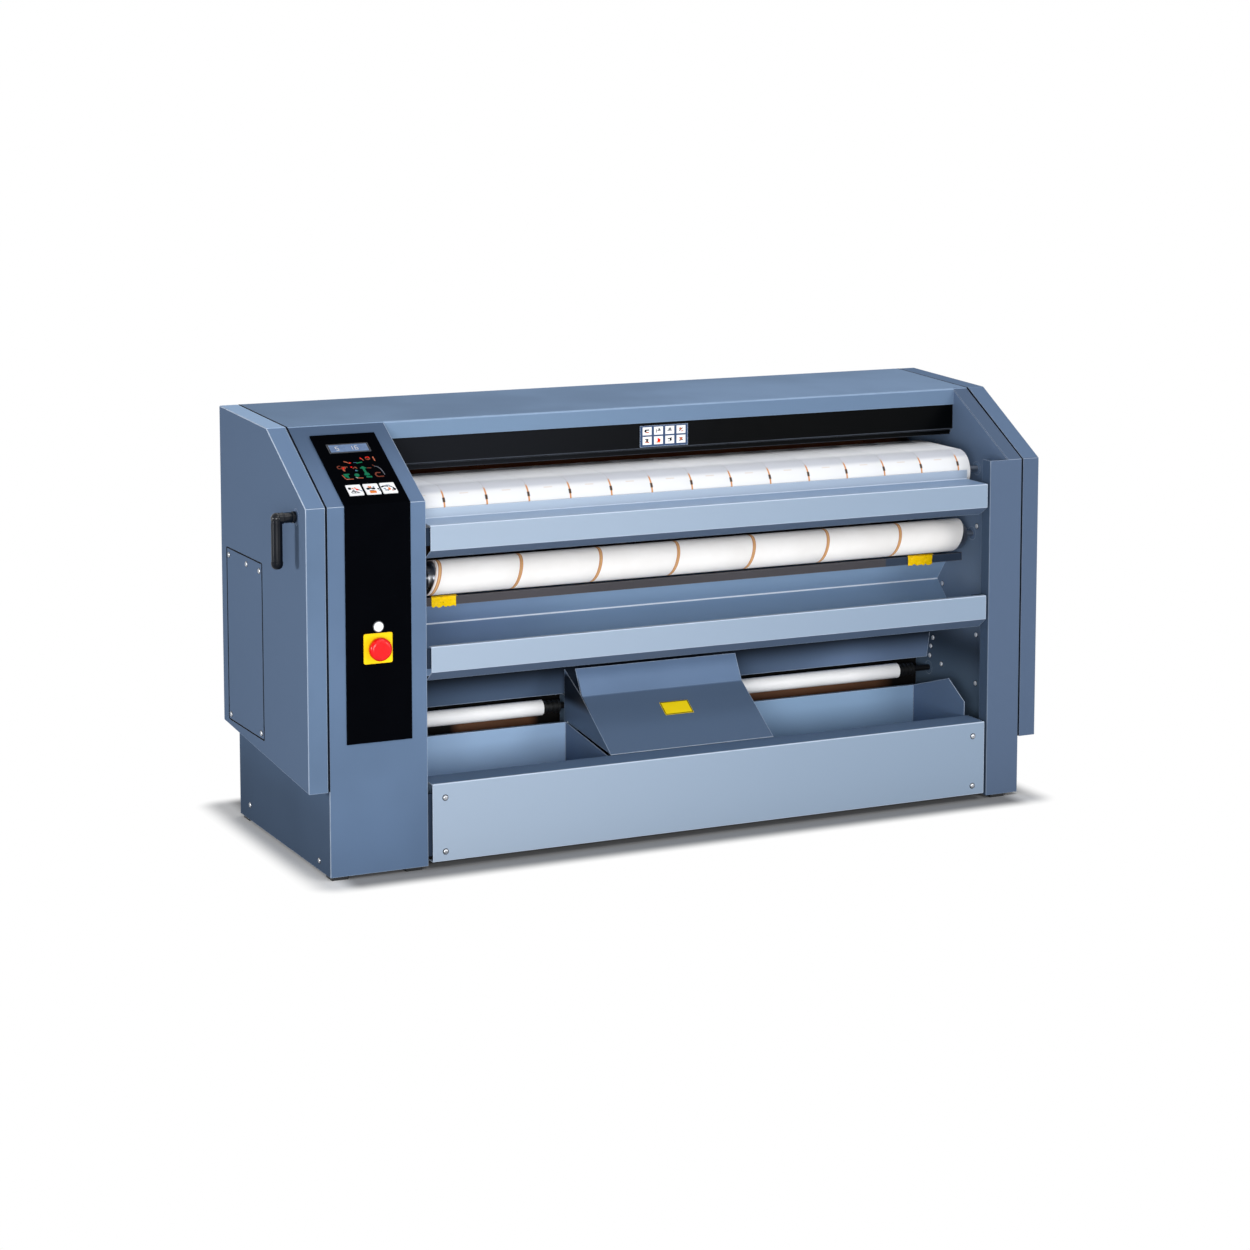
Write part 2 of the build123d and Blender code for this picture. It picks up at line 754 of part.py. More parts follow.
tag_height = 30
with BuildPart() as scraper_tags:
    for tag_x in ((364, 432), (1780, 1858)):
        block(tag_x, (scraper_y[0] - 3, scraper_y[0]), (scraper_z[1] - tag_height + 5, scraper_z[1] + 5))
        block(tag_x, (scraper_y[0] - 14, scraper_y[0] - 3), (scraper_z[1] + 2, scraper_z[1] + 5))
finish(scraper_tags.part, "scraper_tags")

with BuildPart() as exit_chute:
    chute_line = [(300, 622), (359, 548), (238, 438)]
    bent_sheet(chute_line, thin_sheet, bend_radius, left_column_width, side_plate_x)
finish(exit_chute.part, "exit_chute")

with BuildPart() as shroud:
    shroud_line = [(411, 313), (372, 500), (372, 540)]
    bent_sheet(shroud_line, -thin_sheet, bend_radius, left_column_width, side_plate_x)
finish(shroud.part, "shroud")

# ---- front rails with their brackets ----
with BuildPart() as upper_front_rail:
    upper_line = [(27, 784), (rail_front_y, 807), (rail_front_y, 871), (97, 871), (97, 896)]
    bent_sheet(upper_line, -thin_sheet, tight_bend_radius, rail_left_x, rail_right_x)
finish(upper_front_rail.part, "upper_front_rail")

with BuildPart() as lower_front_rail:
    lower_line = [(26, 475), (rail_front_y, 501), (rail_front_y, 566), (6, 566)]
    bent_sheet(lower_line, -thin_sheet, tight_bend_radius, rail_left_x, rail_right_x)
finish(lower_front_rail.part, "lower_front_rail")

rail_back_y = rail_front_y + thin_sheet
left_bracket = [
    (left_column_width, 8),
    (284, 8),
    (284, rail_back_y),
    (312, rail_back_y),
    (312, rail_back_y + 6),
    (290, rail_back_y + 6),
    (290, 14),
    (266, 14),
    (266, 60),
    (left_column_width, 60),
]
right_bracket = [
    (side_plate_x, 96),
    (side_plate_x, 50),
    (1884, 50),
    (1884, rail_back_y),
    (1850, rail_back_y),
    (1850, rail_back_y + 6),
    (1878, rail_back_y + 6),
    (1878, 56),
    (1950, 56),
    (1950, 96),
]
with BuildPart() as rail_brackets:
    for low, high in ((818, 862), (508, 558), (30, 190)):
        prism_z(left_bracket, low, high)
        prism_z(right_bracket, low, high)
    for centre in panel_screws:
        disc_y(screw_shank_radius, centre, rail_back_y, rail_back_y + 6, Mode.SUBTRACT)
finish(rail_brackets.part, "rail_brackets")

# ---- guide rollers under the shroud: two lengths in line on one centre bracket ----
left_guide_x = (300, 747)
right_guide_x = (1010, 1850)
with BuildPart() as guide_rollers:
    tube_body(guide_roller_centre, guide_roller_radius, *left_guide_x)
    tube_body(guide_roller_centre, guide_roller_radius, *right_guide_x)
    disc_x(journal_radius, guide_roller_centre, left_plate_x - 10, side_plate_x + plate_thickness + 10)
finish(guide_rollers.part, "guide_rollers")

cap_ribs = 4
cap_length = 52
cap_rib_pitch = 13
cap_rib_width = 7
with BuildPart() as guide_roller_caps:
    for cap_x in (left_guide_x[1], right_guide_x[1], right_guide_x[0] - cap_length):
        disc_x(14, guide_roller_centre, cap_x, cap_x + cap_length)
        for rib in range(cap_ribs):
            rib_x = cap_x + 4 + rib * cap_rib_pitch
            disc_x(18, guide_roller_centre, rib_x, rib_x + cap_rib_width)
        disc_x(journal_radius, guide_roller_centre, cap_x, cap_x + cap_length, Mode.SUBTRACT)
finish(guide_roller_caps.part, "guide_roller_caps")

with BuildPart() as centre_bracket:
    block((815, 821), (376, 430), (222, 312))
    block((940, 946), (376, 430), (222, 312))
    block((815, 946), (376, 380), (222, 250))
    disc_x(journal_radius + bore_clearance, guide_roller_centre, 815, 946, Mode.SUBTRACT)
finish(centre_bracket.part, "centre_bracket")

with BuildPart() as rear_baffle:
    block((left_column_width, side_plate_x), (470, 472), (64, 430))
finish(rear_baffle.part, "rear_baffle")

# ---- linen troughs either side of the centre tray ----
trough_front_y = 84
trough_rim = 249
cheek_peak = (167, 304)
tub = [
    (trough_front_y, 213),
    (trough_front_y, trough_floor),
    (trough_rear_y, trough_floor),
    (trough_rear_y, trough_rim),
]
raised_wall = [(trough_front_y, 254)] + tub[1:] + [cheek_peak]


def trough(x_start, x_end, right_wall):
    """A sheet trough: floor, front, back, a low wall on its left and a given wall on its right."""
    bent_sheet(tub, thin_sheet, tight_bend_radius, x_start, x_end)
    prism_x(tub, x_start, x_start + thin_sheet)
    prism_x(right_wall, x_end - thin_sheet, x_end)


with BuildPart() as left_trough:
    trough(left_column_width, tray_left_x - 4, tub)
finish(left_trough.part, "left_trough")

with BuildPart() as right_trough:
    trough(tray_right_x + 4, 1880, raised_wall)
finish(right_trough.part, "right_trough")

tray_fold = (265, 336)
tray_top = (303, 403)
tray_foot = (82, 218)
with BuildPart() as centre_tray:
    bent_sheet([tray_foot, tray_fold, tray_top], -thin_sheet, bend_radius, tray_left_x, tray_right_x)
    tray_cheek = [tray_foot, (354, 250), (354, 246), (374, 246), (374, 388), tray_fold]
    prism_x(tray_cheek, tray_left_x, tray_left_x + thin_sheet)
    prism_x(tray_cheek, tray_right_x - thin_sheet, tray_right_x)
finish(centre_tray.part, "centre_tray")

# A bare yellow plate lies on the tray's lower slope.
tray_slope = math.atan2(tray_fold[1] - tray_foot[1], tray_fold[0] - tray_foot[0])
tray_normal = (0, -math.sin(tray_slope), math.cos(tray_slope))
with BuildPart() as notice_plate:
    middle_y = 201
    middle_z = tray_foot[1] + (middle_y - tray_foot[0]) * math.tan(tray_slope)
    with BuildSketch(Plane((1053, middle_y, middle_z), (1, 0, 0), tray_normal)) as notice:
        RectangleRounded(84, 48, 2)
    extrude(notice.sketch, amount=0.8)
finish(notice_plate.part, "notice_plate")

# ---- front panel and base ----
with BuildPart() as front_panel:
    front_line = [
        (18, 17),
        (rail_front_y, 17),
        (rail_front_y, panel_top),
        (flange_rear_y, panel_top),
        (flange_rear_y, 196),
    ]
    bent_sheet(front_line, -thin_sheet, tight_bend_radius, rail_left_x, rail_right_x)
    for centre in panel_screws:
        disc_y(screw_shank_radius, centre, rail_front_y, rail_back_y, Mode.SUBTRACT)
finish(front_panel.part, "front_panel")

cross_rail_sections = [
    ((110, 170), (12, trough_floor)),
    ((600, 690), (12, trough_floor)),
    ((trough_rear_y, 376), (224, 246)),
]
with BuildPart() as cross_rails:
    for rail_y, rail_z in cross_rail_sections:
        span = (left_column_width, side_plate_x)
        block(span, rail_y, rail_z)
        inner_y = (rail_y[0] + sheet, rail_y[1] - sheet)
        inner_z = (rail_z[0] + sheet, rail_z[1] - sheet)
        block(span, inner_y, inner_z, Mode.SUBTRACT)
finish(cross_rails.part, "cross_rails")

foot_size = 43
foot_places = [(4, 1), (200, 1), (4, 640), (200, 640), (1915, 1), (1950, 640)]
with BuildPart() as feet:
    for foot_x, foot_y in foot_places:
        block((foot_x, foot_x + foot_size), (foot_y, foot_y + foot_size), (0, foot_height))
finish(feet.part, "feet")

# ---- drive in the left column ----
chain_x = (204, 216)
motor_centre = (430, 330)
motor_sprocket_radius = 40
cylinder_sprocket_radius = 105
with BuildPart() as cylinder_sprocket:
    disc_x(cylinder_sprocket_radius, cylinder_centre, *chain_x)
    disc_x(64, cylinder_centre, 196, chain_x[1])
    disc_x(cylinder_journal_radius, cylinder_centre, 196, chain_x[1], Mode.SUBTRACT)
finish(cylinder_sprocket.part, "cylinder_sprocket")

with BuildPart() as motor_sprocket:
    disc_x(motor_sprocket_radius, motor_centre, *chain_x)
    disc_x(10, motor_centre, 150, chain_x[1])
finish(motor_sprocket.part, "motor_sprocket")

with BuildPart() as drive_motor:
    disc_x(85, motor_centre, 30, 160)
    disc_x(10 + bore_clearance, motor_centre, 140, 160, Mode.SUBTRACT)
    block((40, 150), (motor_centre[0] - 90, motor_centre[0] + 90), (foot_height + sheet, 262))
finish(drive_motor.part, "drive_motor")

chain_height = 8
chain_gap = 0.4
with BuildPart() as drive_chain:
    hull_pair(
        motor_centre,
        motor_sprocket_radius + chain_height,
        cylinder_centre,
        cylinder_sprocket_radius + chain_height,
        *chain_x,
    )
    hull_pair(
        motor_centre,
        motor_sprocket_radius + chain_gap,
        cylinder_centre,
        cylinder_sprocket_radius + chain_gap,
        *chain_x,
        Mode.SUBTRACT,
    )
finish(drive_chain.part, "drive_chain")

# ---- round-head screws: one pattern in every place ----
head_edge_radius = 2
with BuildPart() as round_head_screws:
    for centre in plate_screws:
        disc_x(screw_shank_radius, centre, side_plate_x, side_plate_x + screw_shank_length)
        disc_x(screw_head_radius, centre, side_plate_x - screw_head_height, side_plate_x)
        disc_x(screw_shank_radius, centre, left_column_width - screw_shank_length, left_column_width)
        disc_x(screw_head_radius, centre, left_column_width, left_column_width + screw_head_height)
    for centre in column_screws:
        disc_x(screw_shank_radius, centre, 0, screw_shank_length)
        disc_x(screw_head_radius, centre, -screw_head_height, 0)
    for centre in access_screws:
        disc_x(screw_shank_radius, centre, cover_left_x, cover_left_x + screw_shank_length)
        disc_x(screw_head_radius, centre, cover_left_x - screw_head_height, cover_left_x)
    for centre in panel_screws:
        disc_y(screw_shank_radius, centre, rail_front_y, rail_front_y + screw_shank_length)
        disc_y(screw_head_radius, centre, rail_front_y - screw_head_height, rail_front_y)
    crown_places = (
        side_plate_x - screw_head_height,
        left_column_width + screw_head_height,
        -screw_head_height,
        cover_left_x - screw_head_height,
    )
    crowns = []
    for rim in round_head_screws.edges().filter_by(GeomType.CIRCLE):
        middle = rim.arc_center
        along_x = any(abs(middle.X - place) < 0.1 for place in crown_places)
        along_y = abs(middle.Y - rail_front_y + screw_head_height) < 0.1
        if along_x or along_y:
            crowns.append(rim)
    fillet(crowns, head_edge_radius)
finish(round_head_screws.part, "round_head_screws")
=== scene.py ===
import math
import random

import bmesh
import bpy
from mathutils import Matrix, Vector, noise


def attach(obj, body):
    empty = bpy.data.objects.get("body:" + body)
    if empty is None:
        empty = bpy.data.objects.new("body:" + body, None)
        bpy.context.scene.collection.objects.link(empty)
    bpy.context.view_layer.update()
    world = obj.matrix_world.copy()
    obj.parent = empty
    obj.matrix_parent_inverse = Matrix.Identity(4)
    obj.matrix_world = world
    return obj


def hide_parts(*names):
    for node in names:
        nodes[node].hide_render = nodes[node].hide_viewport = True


# Flatwork ironer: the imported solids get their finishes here, and the belts, screws,
# printed marks and small trim are modelled over them. Lengths in the pieces' dictionaries
# are machine millimetres: x from the left column's outer face, y back from the columns'
# fronts, z up from the floor. The finishes', the studio's and the camera's are metres.
# A colour of three numbers is in display values from 0 to 255.

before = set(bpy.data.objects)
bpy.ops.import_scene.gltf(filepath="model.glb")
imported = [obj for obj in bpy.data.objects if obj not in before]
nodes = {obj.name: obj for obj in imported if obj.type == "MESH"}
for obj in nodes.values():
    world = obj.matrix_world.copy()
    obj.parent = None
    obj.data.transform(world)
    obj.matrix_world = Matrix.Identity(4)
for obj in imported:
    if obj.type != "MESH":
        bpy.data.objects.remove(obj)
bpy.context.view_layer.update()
print("frame:", len(nodes), "nodes")

machine = {
    "originX": 968.0,      # where the shared origin lies
    "originY": 333.5,
    "foldHeight": 932.0,   # where the sloping front begins
    "slopeDepth": 285.0,
    "slopeRise": 165.0,
    "coverFace": -54.0,    # the left cover's outer side
}
slopeLength = math.hypot(machine["slopeDepth"], machine["slopeRise"])
slopeBack = machine["slopeDepth"] / slopeLength
slopeUp = machine["slopeRise"] / slopeLength


def placeX(x):  # machine millimetres to scene metres
    return (x - machine["originX"]) / 1000


def placeY(y):
    return (y - machine["originY"]) / 1000


def place(x, y, z):
    return Vector((placeX(x), placeY(y), z / 1000))


def paint(red, green, blue):  # display values to linear light
    channels = []
    for value in (red, green, blue):
        share = value / 255
        channels.append(share / 12.92 if share <= 0.04045 else ((share + 0.055) / 1.055) ** 2.4)
    return (*channels, 1.0)


def cast(colour, share):  # a darker or paler cast of a paint
    return (*(min(1.0, channel * share) for channel in colour[:3]), 1.0)


class Wire:  # a shader socket that takes part in Python expressions
    def __init__(self, look, socket):
        self.look = look
        self.socket = socket

    def __add__(self, other):
        return self.look.maths("ADD", self, other)

    def __radd__(self, other):
        return self.look.maths("ADD", other, self)

    def __sub__(self, other):
        return self.look.maths("SUBTRACT", self, other)

    def __rsub__(self, other):
        return self.look.maths("SUBTRACT", other, self)

    def __mul__(self, other):
        return self.look.maths("MULTIPLY", self, other)

    def __rmul__(self, other):
        return self.look.maths("MULTIPLY", other, self)

    def __truediv__(self, other):
        return self.look.maths("DIVIDE", self, other)

    def __mod__(self, other):
        return self.look.maths("FLOORED_MODULO", self, other)

    def __abs__(self):
        return self.look.maths("ABSOLUTE", self)


finishes = {}


class Look:  # the shader nodes of one material, or of the sky
    def __init__(self, name, kind="materials"):
        self.name = name
        self.made = getattr(bpy.data, kind).new(name)
        self.made.use_nodes = True
        self.tree = self.made.node_tree
        self.tree.nodes.clear()
        if kind == "materials":
            self.point = self.node("TexCoord", output="Object")
            split = self.node("SeparateXYZ", inputs={"Vector": self.point}).socket.node
            self.x, self.y, self.z = [Wire(self, split.outputs[axis]) for axis in "XYZ"]

    def node(self, kind, settings=None, inputs=None, output=0):
        made = self.tree.nodes.new("ShaderNode" + kind)
        for key, value in (settings or {}).items():
            setattr(made, key, value)
        for key, value in (inputs or {}).items():
            if isinstance(value, Wire):
                self.tree.links.new(value.socket, made.inputs[key])
            else:
                made.inputs[key].default_value = value
        return Wire(self, made.outputs[output]) if made.outputs else None

    def maths(self, operation, *values):
        return self.node("Math", {"operation": operation}, dict(enumerate(values)))

    def larger(self, first, second):
        return self.maths("MAXIMUM", first, second)

    def distance(self, first, second):
        return self.maths("SQRT", first * first + second * second)

    def clamp(self, value, low=0.0, high=1.0):
        return self.node("Clamp", inputs={"Value": value, "Min": low, "Max": high})

    def band(self, value, centre, halfWidth, soft):  # 1 within halfWidth of centre, fading over soft
        return self.clamp((halfWidth + soft - abs(value - centre)) / soft)

    def step(self, value, start, end):  # 0 before start, 1 after end
        inputs = {"Value": value, "From Min": start, "From Max": end}
        return self.node("MapRange", {"interpolation_type": "SMOOTHSTEP"}, inputs)

    def stepX(self, start, end):  # steps and bands along an axis are in machine millimetres
        return self.step(self.x, placeX(start), placeX(end))

    def stepY(self, start, end):
        return self.step(self.y, placeY(start), placeY(end))

    def stepZ(self, start, end):
        return self.step(self.z, start / 1000, end / 1000)

    def bandX(self, centre, halfWidth, soft):
        return self.band(self.x, placeX(centre), halfWidth / 1000, soft / 1000)

    def bandZ(self, centre, halfWidth, soft):
        return self.band(self.z, centre / 1000, halfWidth / 1000, soft / 1000)

    def noise(self, scale, detail=2.0, roughness=0.5, stretch=None):
        where = self.point
        if stretch:
            where = self.node("Mapping", inputs={"Vector": self.point, "Scale": stretch})
        inputs = {"Vector": where, "Scale": scale, "Detail": detail, "Roughness": roughness}
        return self.node("TexNoise", inputs=inputs)

    def mix(self, share, first, second):
        return self.node("Mix", {"data_type": "RGBA"}, {0: share, 6: first, 7: second}, 2)

    def mottled(self, share, dark, light):
        return self.mix(self.step(share, 0.3, 0.7), dark, light)

    def bump(self, height, depth):
        inputs = {"Height": height, "Distance": depth, "Strength": 1.0}
        return self.node("Bump", inputs=inputs, output="Normal")

    def along(self, first, second):  # how far two directions agree
        return self.node("VectorMath", {"operation": "DOT_PRODUCT"}, {0: first, 1: second}, "Value")

    def edges(self, radius, turned):  # 1 along folds and cut edges, 0 on the flats
        rounded = self.node("Bevel", {"samples": 4}, {"Radius": radius})
        own = self.node("NewGeometry", output="Normal")
        return self.step(1 - self.along(rounded, own), *turned)

    def folds(self, flats, level):  # 1 where a surface turns between its flat directions
        own = self.node("TexCoord", output="Normal")
        nearest = 0.0
        for flat in flats:
            nearest = self.larger(nearest, abs(self.along(own, flat)))
        return 1 - self.step(nearest, *level)

    def surface(self, colour, roughness, specular=0.5, normal=None, metallic=0.0, coatWeight=0.0):
        channels = {
            "Base Color": colour,
            "Roughness": roughness,
            "Specular IOR Level": specular,
            "Metallic": metallic,
            "Coat Weight": coatWeight,
            "Coat Roughness": 0.08,
        }
        if normal:
            channels["Normal"] = normal
        return self.node("BsdfPrincipled", inputs=channels)

    def seen(self):  # 1 for rays from the camera, from gloss and through glass
        path = self.node("LightPath").socket.node
        kinds = ("Camera", "Glossy", "Transmission")
        camera, gloss, glass = [Wire(self, path.outputs[f"Is {kind} Ray"]) for kind in kinds]
        return self.larger(self.larger(camera, gloss), glass)

    def blend(self, share, first, second):  # of two shaders
        return self.node("MixShader", inputs={0: share, 1: first, 2: second})

    def show(self, shader, output="OutputMaterial"):
        self.node(output, inputs={"Surface": shader})
        return self.made

    def finish(self, *channels, **more):
        finishes[self.name] = self.show(self.surface(*channels, **more))


dressing = {
    "columnPaint": ["left_column", "right_column"],
    "coverPaint": ["left_side_cover", "right_side_cover", "access_panel"],
    "hoodPaint": ["hood"],
    "rearPaint": ["rear_panel"],
    "railPaint": ["upper_front_rail", "lower_front_rail"],
    "panelPaint": ["front_panel"],
    "framePaint": ["left_side_plate", "right_side_plate", "centre_bracket", "cross_rails"],
    "trayPaint": ["centre_tray"],
    "troughPaint": ["left_trough", "right_trough"],
    "chutePaint": ["exit_chute"],
    "shroudPaint": ["shroud"],
    "scraperPaint": ["scraper_beam"],
    "blackPaint": ["fascia_panel", "finger_guard"],
    "bluePlate": ["pictogram_plate"],
    "yellowPaint": ["estop_plate", "scraper_tags"],
    "noticePaint": ["notice_plate"],
    "castPaint": ["cylinder_bearings", "drive_motor"],
    "blackPlastic": ["estop_base", "guide_roller_caps", "feet"],
    "bushPlastic": ["crank_bush"],
    "bracketPaint": ["rail_brackets"],
    "bushPaint": ["roller_bushes"],
    "panelFilm": ["control_panel"],
    "crankPlastic": ["hand_crank"],
    "redPlastic": ["estop_button"],
    "keyPlastic": ["left_key", "middle_key", "right_key"],
    "rollerSleeve": ["guide_rollers"],
    "lampWhite": ["pilot_lamp_lens"],
    "collarPlastic": ["pilot_lamp_collar"],
    "displayGlass": ["display_window"],
    "rollerSteel": [
        "front_feed_roller",
        "rear_feed_roller",
        "exit_roller",
        "entry_roller",
        "upper_return_roller",
        "lower_return_roller",
    ],
    "plainSteel": ["feed_bed", "heater_bundle", "drive_chain", "cylinder_sprocket", "motor_sprocket"],
    "screwSteel": ["round_head_screws"],
    "heatedSteel": ["ironing_cylinder"],
    "brownSheet": ["rear_baffle"],
}

powderCoat = {
    "peelScale": 620.0,            # orange peel, per metre
    "peelDepth": 0.00005,
    "cloudScale": 2.3,
    "cloudShare": 0.1,             # how far the large soft patches drift in tone
    "roughness": 0.40,
    "scuffScale": 26.0,
    # the pale line along cut edges and folds is a painted highlight
    "edgeRadius": 0.0026,          # how wide the pale line along a cut edge is
    "edgeTurned": (0.005, 0.07),   # how far the rounded normal leaves the face's own there
    "edgeShare": 0.62,
    "edgeTone": (205, 218, 236),
    "flatShare": 0.012,            # a direction with more of the area than this is a flat, not a bend
    "flatLevel": (0.95, 0.99),     # how well a normal agrees with a flat where the bend begins and ends
}


def flatDirections(names):
    areas = {}
    for name in names:
        for polygon in nodes[name].data.polygons:
            side = polygon.normal if max(polygon.normal, key=abs) > 0 else -polygon.normal
            key = tuple(round(part, 2) + 0.0 for part in side)
            areas[key] = areas.get(key, 0.0) + polygon.area
    whole = sum(areas.values())
    return sorted(key for key, area in areas.items() if area > powderCoat["flatShare"] * whole)


def coat(
    name,
    colour,
    roughness=powderCoat["roughness"],
    peel=1.0,
    specular=0.08,
    edgeTone=powderCoat["edgeTone"],
    shade=None,
    bent=False,
    lowEdge=1.0,
):
    look = Look(name)
    drift = powderCoat["cloudShare"]
    cloud = look.noise(powderCoat["cloudScale"], 3.0)
    tone = look.mottled(cloud, cast(paint(*colour), 1 - drift), cast(paint(*colour), 1 + drift))
    if shade:
        tone = shade(look, tone)
    scuff = look.noise(powderCoat["scuffScale"], 4.0, 0.6)
    # Painted highlight: a pale line along cut edges, and along folds on bent sheets, varied by the scuff
    # noise; some finishes give it a darker edge tone
    edgeHighlight = look.edges(powderCoat["edgeRadius"], powderCoat["edgeTurned"])
    if bent:
        edgeHighlight = look.larger(edgeHighlight, look.folds(flatDirections(dressing[name]), powderCoat["flatLevel"]))
    edgeHighlight = edgeHighlight * (0.6 + scuff * 0.8) * powderCoat["edgeShare"]
    if lowEdge < 1:  # the painted edge highlight is fainter below the slope and towards the right
        edgeHighlight = edgeHighlight * (lowEdge + look.stepZ(900, 940) * (1 - lowEdge))
        edgeHighlight = edgeHighlight * (1 - 0.5 * look.stepX(1368, 1768))
    tone = look.mix(look.clamp(edgeHighlight), tone, paint(*edgeTone))
    grain = look.bump(look.noise(powderCoat["peelScale"]), powderCoat["peelDepth"] * peel)
    look.finish(tone, roughness + (scuff - 0.5) * 0.10, specular, grain)


def onIncline(look):  # 1 on the sloping front, 0 below the fold and behind the top edge
    return look.stepZ(931, 935) * (1 - look.stepY(286, 290))


def columnTone(look, tone):  # painted shade: darker on the outer side (most near the floor), at the right and on the post's side face; also darker near the floor in front; the slope's painted light darkens towards the top
    outer = 1 - look.stepX(1, 3)
    low = 1 - look.stepZ(120, 260)
    tone = look.mix(outer * (0.52 + low * 0.16), tone, paint(46, 55, 68))
    tone = look.mix((1 - outer) * (1 - look.stepZ(50, 300)) * 0.35, tone, paint(76, 96, 124))
    slope = onIncline(look) * (1 - look.stepX(262, 270))
    tone = look.mix(slope, tone, look.mix(look.stepZ(950, 1090), paint(99, 120, 150), paint(80, 98, 124)))
    tone = look.mix(look.stepX(1500, 1900), tone, paint(84, 100, 124))
    return look.mix(look.bandX(1899, 0.8, 1.2) * 0.85, tone, paint(66, 82, 103))


def coverTone(look, tone):  # painted light and shade: paler on top and on the slope, darker on the broad outer side and at the right
    outer = 1 - look.stepX(-53, -51)
    inward = 1 - look.stepX(2051, 2053)
    slope = onIncline(look) * inward
    tone = look.mix(slope, tone, paint(108, 131, 162))
    right = look.stepX(1900, 2000)
    tone = look.mix(right * (1 - slope * 0.5), tone, paint(82, 98, 122))
    top = look.stepZ(1095.5, 1096.5) * (1 - look.stepY(659, 661)) * inward
    tone = look.mix(top, tone, look.mix(right, paint(172, 200, 234), paint(109, 131, 161)))
    return look.mix(outer, tone, paint(82, 98, 121))


def hoodTone(look, tone):  # painted shade: the turned-down front is a little darker than the top, and darker still towards the right
    flange = look.mix(look.stepX(268, 1568), paint(113, 136, 162), paint(101, 122, 148))
    return look.mix(1 - look.stepY(287, 290), tone, flange)


def fasciaTone(look, tone):  # painted light: paler at the left, where it catches the studio's lamps
    return look.mix(look.stepX(368, 1368), paint(21, 23, 27), paint(3, 4, 5))


def paintedFalloff(look, left, right):  # painted shade: the front sheets darken a little from left to right
    return look.mix(look.stepX(68, 1918), paint(*left), paint(*right))


def railTone(look, tone):  # painted light and shade: the turned-in lower edges are darker, the ledge bluer and the shelf behind paler, all darker to the right
    tone = paintedFalloff(look, (151, 166, 184), (134, 151, 171))
    ledge = look.stepY(-6, -3) * look.stepZ(860, 866)
    tone = look.mix(ledge, tone, paintedFalloff(look, (156, 178, 206), (128, 153, 185)))
    tone = look.mix(look.stepY(93, 95), tone, paintedFalloff(look, (168, 182, 198), (153, 167, 185)))
    upper = look.stepZ(700, 701) * (1 - look.stepZ(806, 808.5))
    lower = 1 - look.stepZ(500, 502.5)
    return look.mix(look.clamp(upper + lower) * 0.9, tone, paint(74, 90, 114))


def shelfTone(look, tone):  # painted shade: the level top behind the front face is darker
    behind = look.stepY(-5, 0) * look.stepZ(212, 216.5)
    return look.mix(behind, paintedFalloff(look, (151, 166, 184), (134, 151, 171)), paint(98, 120, 149))


def frameTone(look, tone):  # painted shade: dark behind the tray, paler below it and above
    tone = look.mix(look.stepZ(520, 860), tone, paint(97, 117, 145))
    tone = look.mix(1 - look.stepZ(360, 520), tone, paint(40, 50, 64))
    return look.mix(1 - look.stepZ(270, 400), tone, paint(86, 105, 126))


def troughTone(look, tone):  # painted shade: darker to the right, and its end plates darker still
    tone = look.mix(look.stepX(1100, 1300), tone, paint(134, 162, 192))
    ends = look.bandX(799, 3, 1) + look.bandX(1880, 3, 1)
    dim = look.mix(look.stepX(1200, 1500), paint(88, 107, 134), paint(94, 115, 144))
    return look.mix(look.clamp(ends), tone, dim)


def trayTone(look, tone):  # painted shade: the lower face and the left side are darker than the upper face
    tone = look.mix(1 - look.stepZ(333, 334.5), tone, paint(82, 100, 125))
    side = look.bandX(803, 2, 1) * (1 - look.stepZ(370, 385))
    return look.mix(side, tone, look.mix(look.stepZ(290, 320), paint(84, 103, 128), paint(24, 30, 40)))


def chuteTone(look, tone):  # painted shade near the left column, paler away from it, and a painted highlight along the fold
    tone = look.mix(look.stepX(480, 900), tone, paint(134, 160, 190))
    return look.mix(look.bandZ(548, 1.4, 0.9) * 0.9, tone, paint(236, 243, 252))


def shroudTone(look, tone):  # painted shadow: darker above, under the rail, and at the left
    tone = look.mix(1 - look.stepX(1300, 1750), tone, paint(76, 93, 117))
    return look.mix(look.stepZ(318, 402), tone, paint(10, 13, 17))


def tagTone(look, tone):  # grimy in small specks
    specks = look.noise(160.0)
    return look.mix(look.step(specks, 0.66, 0.70) * 0.8, tone, paint(70, 52, 14))


def scraperTone(look, tone):  # painted shade: bluer at its right end, in the tone of the shaded plate behind
    return look.mix(look.stepX(1708, 1714), tone, paint(50, 62, 80))


def baffleTone(look, tone):  # painted shade: near-black above and at the ends; brown below the guide rollers
    below = 1 - look.stepZ(262, 282)
    brown = below * (look.bandX(640, 100, 30) + look.bandX(1560, 260, 60))
    return look.mix(look.clamp(brown), tone, paint(112, 78, 58))


coat("columnPaint", (90, 110, 137), specular=0.0, shade=columnTone, bent=True, lowEdge=0.5)
coat("coverPaint", (92, 112, 138), specular=0.0, shade=coverTone, bent=True, lowEdge=0.5)
coat("hoodPaint", (130, 153, 183), specular=0.0, edgeTone=(150, 172, 200), shade=hoodTone, bent=True)
coat("rearPaint", (101, 122, 152), bent=True)
coat("railPaint", (154, 173, 196), roughness=0.34, shade=railTone, bent=True)
coat("panelPaint", (154, 173, 196), roughness=0.36, specular=0.0, shade=shelfTone, bent=True)
coat("framePaint", (116, 134, 157), shade=frameTone)
coat("trayPaint", (98, 120, 150), roughness=0.34, shade=trayTone, bent=True)
coat("troughPaint", (154, 182, 214), roughness=0.34, shade=troughTone, bent=True)
coat("chutePaint", (116, 139, 171), roughness=0.34, shade=chuteTone)
coat("shroudPaint", (102, 122, 152), roughness=0.36, shade=shroudTone, bent=True)
blackEdge = (84, 90, 100)
